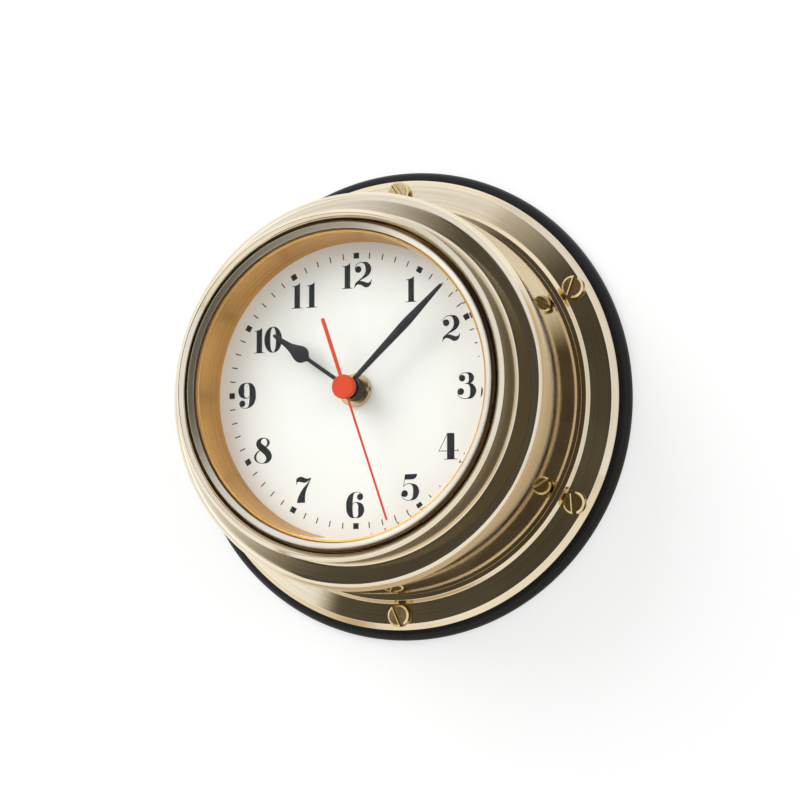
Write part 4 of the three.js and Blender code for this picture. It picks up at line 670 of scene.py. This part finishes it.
def stroke(form, spine, fit, closed=False):
    path, rows = curve_through(spine, closed=closed), []
    n = len(path)
    for i, (x, y, w) in enumerate(path):
        a = path[i - 1] if closed or i else path[0]
        b = path[(i + 1) % n] if closed or i < n - 1 else path[-1]
        dx, dy = b[0] - a[0], b[1] - a[1]
        long = math.hypot(dx, dy) or 1
        nx, ny = -dy / long * w / 2, dx / long * w / 2
        (lx, ly), (rx, ry) = fit(x + nx, y + ny), fit(x - nx, y - ny)
        rows.append([(lx, ly, INK_TOP), (rx, ry, INK_TOP), (rx, ry, INK_LOW), (lx, ly, INK_LOW)])
    form.grid(rows, ring=closed, caps=not closed)


def plate(form, outline, fit):
    flat = [fit(x, y) for x, y in outline]
    form.grid([[(x, y, h) for x, y in flat] for h in (INK_LOW, INK_TOP)], caps=True)


def ball(form, x, y, r, fit):
    plate(form, round_points(30, r, x, y), fit)


print("a stroke of 3 points becomes", len(curve_through([(0, 0, 1)] * 3)), "stations")

# %% [markdown]
# Each figure is drawn in a box 100 high. Strokes hold x, y and the width of the pen; balls hold x, y
# and a radius; plates are plain outlines. Nine is six turned upside down.

# %% Figures
FIGURES = {
    1: (46, [], [], [[(35, 100), (30, 94.5), (23, 90.5), (14, 88), (3, 87), (3, 84.6), (12, 84),
                      (12, 5.5), (10.8, 3.2), (0, 1.8), (0, 0), (46, 0), (46, 1.8), (36.2, 3.2),
                      (35, 5.5)]]),
    2: (73, [[(3.8, 75, 2.2), (8.5, 88.5, 2.2), (22, 98, 2.6), (37, 97.6, 4.6), (51, 91, 16),
              (59.3, 74, 23), (55, 56, 18.5), (42, 42.5, 10), (25, 31.5, 5), (10.7, 20, 3),
              (3.6, 9, 2.2), (1.8, 0.5, 2)],
             [(2.6, 4, 2), (9, 15.5, 9), (19.6, 20.6, 13.5), (34.5, 17.6, 16), (50.5, 10.2, 19),
              (62.5, 13.2, 13.5), (69.6, 22, 5), (72.4, 31.5, 1.8)]],
        [(17.3, 72, 13)], []),
    3: (76, [[(6.6, 79, 2.2), (11, 91, 2.2), (24, 98, 2.4), (38, 97.8, 4), (51, 91.5, 14.5),
              (56.2, 78.2, 21.5), (51.5, 65, 14), (41, 58.4, 4), (30, 57.2, 2.4)],
             [(30, 57.2, 2.4), (43, 56.2, 4), (56.5, 48.6, 16), (63.4, 29.4, 24.5), (56.5, 9.5, 16),
              (43, 2, 4.6), (29, 1.1, 2.4), (13, 5.4, 2.2), (3.2, 16, 2.2), (1, 27.6, 2)]],
        [(19, 78.5, 12.6), (13.4, 28, 13)], []),
    4: (78, [[(34.5, 97.5, 2.2), (1, 32.7, 2.2)]],
        [], [[(33.7, 100), (63.2, 100), (63.2, 5), (64.8, 2.8), (76, 1.7), (76, 0), (21.5, 0),
              (21.5, 1.7), (32.2, 2.8), (33.7, 5)],
             [(0, 31.5), (74, 31.5), (77.5, 29.4), (78.5, 29.4), (78.5, 40), (77.5, 40), (74, 34),
              (0, 34)]]),
    5: (73, [[(16, 97, 2.2), (9.4, 53, 2.2)],
             [(9.4, 53, 2.2), (18, 61.4, 2.2), (31, 64.3, 2.8), (43, 61.4, 6), (55.4, 51.5, 18.5),
              (60.4, 32.7, 24.5), (54, 12.5, 17), (40.5, 2.8, 4.8), (27.4, 1.1, 2.4), (11, 6, 2.2),
              (1.8, 18, 2.2), (0.9, 26.8, 2)]],
        [(13.7, 26.8, 13)], [[(15, 100), (64.3, 100), (63, 92.5), (59, 86), (52.4, 81.6), (43, 79.8),
                              (15, 79.8)]]),
    6: (74, [[(40.5, 99, 2), (29.8, 95, 6.5), (19, 81, 20), (13.6, 61.5, 26), (13.2, 46, 26.5),
              (14.5, 27, 25), (21.6, 9.6, 16.5), (31, 2.4, 4.6), (38, 0.9, 2)],
             [(27.4, 52, 2), (31, 57.6, 2.2), (38.7, 59.8, 2.6), (48.5, 56.8, 8), (58.4, 47, 19.5),
              (61.4, 29.9, 25), (57.6, 13, 18), (48.5, 3.6, 7), (38, 0.9, 2)],
             [(40.5, 99, 2), (53.6, 97.7, 2.2), (65, 90.4, 2.2), (69, 80.5, 2)]],
        [(57, 80.5, 12.6)], []),
    7: (62, [[(0.8, 69.6, 1.6), (2.6, 80, 5.5), (9.5, 88.3, 17), (20.8, 89.6, 21), (35.7, 85.4, 17.5),
              (48.8, 87.8, 9.5), (60.7, 94.4, 2.4)],
             [(0.8, 69.6, 1.8), (0.8, 93, 1.8)]],
        [], [[(60.4, 94), (54.5, 84.5), (44.6, 72.5), (30, 57), (16, 37.5), (7, 19), (3, 0), (37, 0),
              (36.4, 19), (38.4, 37), (44.4, 55), (53.4, 74), (59.4, 87), (62, 95.5)]]),
    8: (77, [[(43.8, 99, 2.2), (30, 95.6, 8), (20.4, 83.5, 19.5), (23.4, 70.3, 24), (40.2, 55.4, 26.5),
              (57.6, 39, 26), (62.6, 23.8, 24.5), (55.4, 8.7, 13.5), (40.2, 1.3, 3)],
             [(40.2, 1.3, 3), (28, 2.2, 2.6), (15, 7.4, 4.6), (6, 19.4, 8.5), (6.2, 31, 8.5),
              (14.2, 43.6, 5.6), (27.2, 53, 3.6), (46.2, 62.4, 4), (57.6, 71, 8.5), (60.6, 82, 11),
              (55, 93.6, 6), (43.8, 99, 2.2)]], [], []),
    0: (74, [[(24.5 * math.cos(t) + 37, 48.8 * math.sin(t) + 50, 2.4 + 22.6 * abs(math.cos(t)) ** 1.3)
             for t in [math.radians(15 * k) for k in range(24)]]], [], []),
}


def figure(form, digit, left, low, size):
    source = FIGURES[6 if digit == 9 else digit]

    def fit(x, y):
        if digit == 9:
            x, y = source[0] - x, 100 - y
        return left + x * size / 100, low + y * size / 100
    for spine in source[1]:
        stroke(form, spine, fit, closed=digit == 0)
    for x, y, r in source[2]:
        ball(form, x, y, r, fit)
    for outline in source[3]:
        plate(form, outline, fit)
    return source[0] * size / 100


print("figures:", sorted(FIGURES), "and 9 from 6")

# %% [markdown]
# The numerals stand upright round the dial. A square marks each hour, and four fine lines mark the
# minutes between two squares. Each could be an object of its own, but all the ink is one piece here,
# as it is printed in one pass.

# %% Printing
NUMERAL = 9.35
SQUARE, LINE = (47.45, 49.55, 1.05), (47.4, 49.6, 0.2)
NUMERALS = {1: (21.0, 35.3), 2: (36.15, 20.4), 3: (42.1, -0.2), 4: (35.1, -21.4), 5: (20.7, -35.4),
            6: (-0.3, -41.0), 7: (-20.2, -34.9), 8: (-36.15, -20.3), 9: (-42.6, -0.1), 10: (-34.5, 19.8),
            11: (-20.2, 35.3), 12: (0.15, 41.4)}
SPACES = {10: -1.5, 11: 15, 12: 5}
ink = Form()
for hour, (x, y) in NUMERALS.items():
    digits = [int(c) for c in str(hour)]
    wide = sum(FIGURES[6 if d == 9 else d][0] for d in digits) * NUMERAL / 100
    gap = SPACES.get(hour, 0) * NUMERAL / 100
    left = x - (wide + gap * (len(digits) - 1)) / 2
    for d in digits:
        left += figure(ink, d, left, y - NUMERAL / 2, NUMERAL) + gap
for minute in range(60):
    a = math.radians(6 * minute)
    inner_end, outer_end, half = LINE if minute % 5 else SQUARE
    corners = [(-half, inner_end), (half, inner_end), (half, outer_end), (-half, outer_end)]
    plate(ink, corners, lambda s, d: (d * math.sin(a) + s * math.cos(a), d * math.cos(a) - s * math.sin(a)))
printing = ink.make("dial_printing", print_ink, "case", slot="dial_white", crease=20)
print("printing faces:", len(printing.data.polygons))

# %% [markdown]
# ## Nut and bush
# The movement is held by a threaded bush that comes through the dial, with a round nut on it. The nut
# has two notches for its key, which are cut out with two small blocks as a file would cut them. The
# bush's end shows its bore, with the pipes of the hands inside. Its thread is hidden in the nut.

# %% Nut and bush
NUT_BORE, NUT_RADIUS, NUT_TOP, NOTCH_HALF = 3.95, 6.0, 52.9, 0.7
notches = [Form().grid([[(side * x, y, h) for x, y in ((4.9, -NOTCH_HALF), (6.5, -NOTCH_HALF),
                                                       (6.5, NOTCH_HALF), (4.9, NOTCH_HALF))]
                        for h in (51.8, 54)], caps=True) for side in (-1, 1)]
nut_profile = [(NUT_BORE, DIAL_TOP), (NUT_RADIUS, DIAL_TOP), (NUT_RADIUS, NUT_TOP), (NUT_BORE, NUT_TOP)]
nut = lathe(Form(), eased(nut_profile, 0.22), 96).make(
    "centre_nut_turned", nut_brass, "case", "centre_nut", "bare_steel", cut=notches, crease=30)
bush_profile = [(2.9, 47.1), (5.5, 47.1), (5.5, 47.7), (3.8, 47.7), (3.8, 53.1), (2.9, 53.1)]
bush = lathe(Form(), eased(bush_profile, 0.15), 96).make(
    "threaded_bush_turned", nut_brass, "case", "threaded_bush", "screw_brass")
print("nut is", round(nut.dimensions.x * MM, 1), "mm across, bush", round(bush.dimensions.x * MM, 1), "mm")

# %% [markdown]
# ## Hands
# Each hand is a stamped blade with a short turned boss. A flat outline could be extruded, but a painted
# edge is always a little round. So a blade is lofted along its length, from stations that hold the
# distance from the axis and half the width. Its angle counts clockwise from twelve o'clock.

# %% Blades
def blade(form, stations, degrees, low, top, round_edge=0.13, smooth=True):
    a = math.radians(degrees)
    rows = []
    for d, w in curve_through(stations, 6) if smooth else stations:
        e = min(round_edge, w * 0.55)
        half = [(-w, low + e * 0.4), (-w, top - e), (-w + 0.3 * e, top - 0.3 * e), (-w + e, top)]
        section = half + [(-s, h) for s, h in reversed(half)]
        rows.append([(d * math.sin(a) + s * math.cos(a), d * math.cos(a) - s * math.sin(a), h)
                     for s, h in section])
    form.grid(rows, caps=True)
    return form


trial = blade(Form(), [(0, 1), (9, 1)], 0, 0, 1, smooth=False)
print("a blade of two stations has", len(trial.faces), "faces")

# %% [markdown]
# The hour hand has a round bulb that draws in to a narrow tip, and the minute hand is a long taper. The
# second hand is a needle with a heavier tail and a round cap over the boss. Each rides on its own body,
# so that the joints can turn it.

# %% Three hands
hour = lathe(Form(), eased([(2.6, 53.5), (4.0, 53.5), (4.0, 58.0), (2.6, 58.0)], 0.22), 96)
stem = [(3.0, 0.7), (17.6, 0.7), (19.0, 0.78)]
bulb = [(19.75, 1.3), (20.6, 2.3), (21.6, 2.85), (22.5, 3.0), (23.6, 2.87), (25.0, 2.35), (26.5, 1.75)]
tip = [(28.3, 1.3), (30.5, 1.02), (33.5, 0.74), (35.1, 0.55), (35.5, 0.38), (35.6, 0.12)]
blade(hour, stem + bulb + tip, 304.9, 57.3, 58.0)
hour_hand = hour.make("hour_hand_painted", hand_paint, "hours", "hour_hand", "hand_charcoal")

minute = lathe(Form(), eased([(1.7, 58.4), (3.4, 58.4), (3.4, 60.2), (1.7, 60.2)], 0.22), 96)
blade(minute, [(2.4, 0.72), (12, 0.98), (22, 1.27), (29, 1.5), (32.5, 1.52), (37, 1.27), (44, 0.86),
               (49.3, 0.56), (49.95, 0.42), (50.2, 0.12)], 45.9, 59.5, 60.2)
minute_hand = minute.make("minute_hand_painted", hand_paint, "minutes", "minute_hand", "hand_charcoal")

SECOND_ANGLE, NEEDLE_LOW, NEEDLE_TOP = 161.2, 61.55, 62.05
cap = [(0, 61.95), (0.6, 61.95), (0.6, 61.0), (4.3, 61.0), (4.3, 63.1), (0, 63.1)]
second = lathe(Form(), eased(cap, 0.4, False), 96)
needle = [(3.5, 0.36), (49.9, 0.34), (50.3, 0.26), (50.4, 0.08)]
tail = [(3.5, 0.62), (25.6, 0.66), (26.05, 0.5), (26.2, 0.2)]
for stations, degrees in ((needle, SECOND_ANGLE), (tail, SECOND_ANGLE + 180)):
    blade(second, stations, degrees, NEEDLE_LOW, NEEDLE_TOP, 0.08, False)
second_hand = second.make("second_hand_painted", red_paint, "seconds", "second_hand", "hand_red")
print("hands:", [hand.name for hand in (hour_hand, minute_hand, second_hand)])

# %% [markdown]
# ## Screws
# Six slotted screws with cheese heads hold the flange to the board. They were driven by hand, so each
# slot stands at its own angle. A dark stripe on a plain head would pass from straight ahead, but not
# from the side. So a head is turned, and then its slot is sawn, with broken edges that catch light.

# %% Flange screws
SHANK_RADIUS, HEAD_RADIUS, HEAD_FLAT, HEAD_TOP = 2.4, 4.1, 3.4, 11.889
SLOT_FLOOR, SLOT_HALF, BROKEN_HALF, SLOT_END = 10.589, 0.8, 1.1, 6
DRIVEN = (146, 20, 176, 156, 64, 118)
head = eased([(0, 1.5), (SHANK_RADIUS, 1.5), (SHANK_RADIUS, SEAT), (HEAD_RADIUS, SEAT),
              (HEAD_RADIUS, 11.189), (HEAD_FLAT, HEAD_TOP), (0, HEAD_TOP)], 0.14, False)
saw_cut = [(SLOT_HALF, SLOT_FLOOR), (SLOT_HALF, 11.589), (BROKEN_HALF, HEAD_TOP), (BROKEN_HALF, 14)]
for i, place in enumerate(screw_places):
    blank = lathe(Form(), head, 96)
    slot_tool = Form().grid([[(-SLOT_END, -w, h), (SLOT_END, -w, h), (SLOT_END, w, h), (-SLOT_END, w, h)]
                             for w, h in saw_cut], caps=True)
    blank.make(f"flange_screw_{i + 1}_slotted", screw_brass, "case", f"flange_screw_{i + 1}", "screw_brass",
               place=place, turn=math.radians(90 - DRIVEN[i]), cut=[slot_tool], crease=30)
print("screws on a circle of", SCREW_RING * 2, "mm")

# %% [markdown]
# ## Inside and behind
# The board's opening shows the movement from behind: a black moulded box, the battery in its tray, the
# setting knob, and the hanger plate over them. Their solids are right as they are, so they only take
# finishes. Wheels are moulded nylon, the coil is wound copper wire, and the contacts are plated steel.
# Plated metal shines more evenly than turned brass, with a fine grain and faint clouds.

# %% Finishes of the inside
def plated(name, colour, deep, rough, stretch=(1, 1, 1)):
    made, root, at = finish(name)
    drawn = root.node("ShaderNodeMapping", None, {"Vector": at, "Scale": stretch})
    grain, cloud = noise(drawn, 2600, 3, 0.6), noise(at, 90, 3)
    mask = step(grain * 0.5 + cloud * 0.5, 0.35, 0.68)
    surface(root, {"Base Color": mixed(mask, colour, deep), "Metallic": 1.0,
                   "Roughness": rough + 0.12 * mask}, grain, FINE_RELIEF, 0.2)
    return made


steel = plated("plated_steel", (0.62, 0.62, 0.60), (0.50, 0.50, 0.48), 0.28, (0.05, 1, 1))
arbor_brass = plated("arbor_brass", (0.80, 0.62, 0.32), (0.62, 0.46, 0.22), 0.25)
moulded = coated("moulded_black", (0.022, 0.022, 0.023), (0.032, 0.032, 0.033), 0.42, 3800, 0.45,
                 COARSE_RELIEF)
nylon = coated("nylon", (0.74, 0.73, 0.68), (0.66, 0.65, 0.60), 0.4, 3000, 0.15)
resist = coated("circuit_green", (0.02, 0.13, 0.055), (0.03, 0.18, 0.075), 0.3, 900, 0.2)
print("finishes of the inside:", [m.name for m in (steel, arbor_brass, moulded, nylon, resist)])

# %% [markdown]
# Two pieces carry a pattern of their own. The coil's wire lies in turns side by side, which a wave
# along its axis shows without modelling each turn. The same wave paints the grooves between turns
# darker, which is painted shade. The battery has a printed wrap: black with a copper-coloured end,
# and bare metal at both ends. Soft steps along its length part these.

# %% Coil and battery
wound, root, at = finish("coil_wire")
turns_and_groove_shade = root.node("ShaderNodeTexWave", {"bands_direction": "X", "wave_profile": "SIN"},
                  {"Vector": at, "Scale": 800.0, "Distortion": 0.6, "Detail": 1.0}, "Fac")
# painted shade: the wire's colour goes dark in the grooves between turns, where the wave is low
surface(root, {"Base Color": mixed(turns_and_groove_shade, (0.28, 0.09, 0.03), (0.78, 0.34, 0.15)), "Metallic": 0.85,
               "Roughness": 0.42 - 0.15 * turns_and_groove_shade}, turns_and_groove_shade, 0.00008, 0.8)

COPPER_FROM, CAP_FROM, BASE_TO = (0.0095, 0.0097), (0.0236, 0.0238), (-0.0249, -0.0247)
wrap, root, at = finish("battery_wrap")
along = root.node("ShaderNodeSeparateXYZ", None, {"Vector": at})
grain = noise(at, 900, 3)
black_print = mixed(grain, (0.018, 0.018, 0.02), (0.03, 0.03, 0.032))
copper_print = mixed(grain, (0.70, 0.30, 0.10), (0.62, 0.25, 0.08))
metal_end = step(along, *CAP_FROM) + 1 - step(along, *BASE_TO)
surface(root, {"Base Color": mixed(metal_end, mixed(step(along, *COPPER_FROM), black_print, copper_print),
                                   (0.6, 0.6, 0.58)),
               "Metallic": 0.25 + 0.7 * metal_end * (1 - 0.4 * grain), "Roughness": 0.25 + 0.1 * grain},
        grain, FINE_RELIEF, 0.2)
print("nodes in the wrap:", len(wrap.node_tree.nodes))

# %% [markdown]
# A finish reaches a solid through its material slot. The solid's shape and place stay as they are.

# %% Finishes on the solids
dressed = {
    board_black: ["backing_board"],
    moulded: ["movement_front_shell", "movement_back_cover", "setting_knob"],
    steel: ["hanger_plate", "hanger_screw_1", "hanger_screw_2", "battery_contact_positive",
            "battery_contact_negative", "quartz_crystal", "stator", "coil_core", "seconds_wheel"],
    nylon: ["fifth_wheel", "third_wheel", "centre_wheel", "minute_wheel", "hour_wheel", "rotor"],
    arbor_brass: ["cannon_pinion"],
    seal_cork: ["glass_gasket", "rubber_washer"],
    wound: ["coil"],
    resist: ["circuit_board"],
    wrap: ["battery"]}
for stuff, names in dressed.items():
    for name in names:
        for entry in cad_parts[name].material_slots:
            entry.material = stuff
print("solids with new finishes:", sum(map(len, dressed.values())))

# %% [markdown]
# ## The picture
# Colours are shown as they are written, so the view transform is Standard: a film-like one would turn
# the white dial grey.

# %% Finish
scene.view_settings.view_transform = "Standard"
bpy.context.view_layer.update()
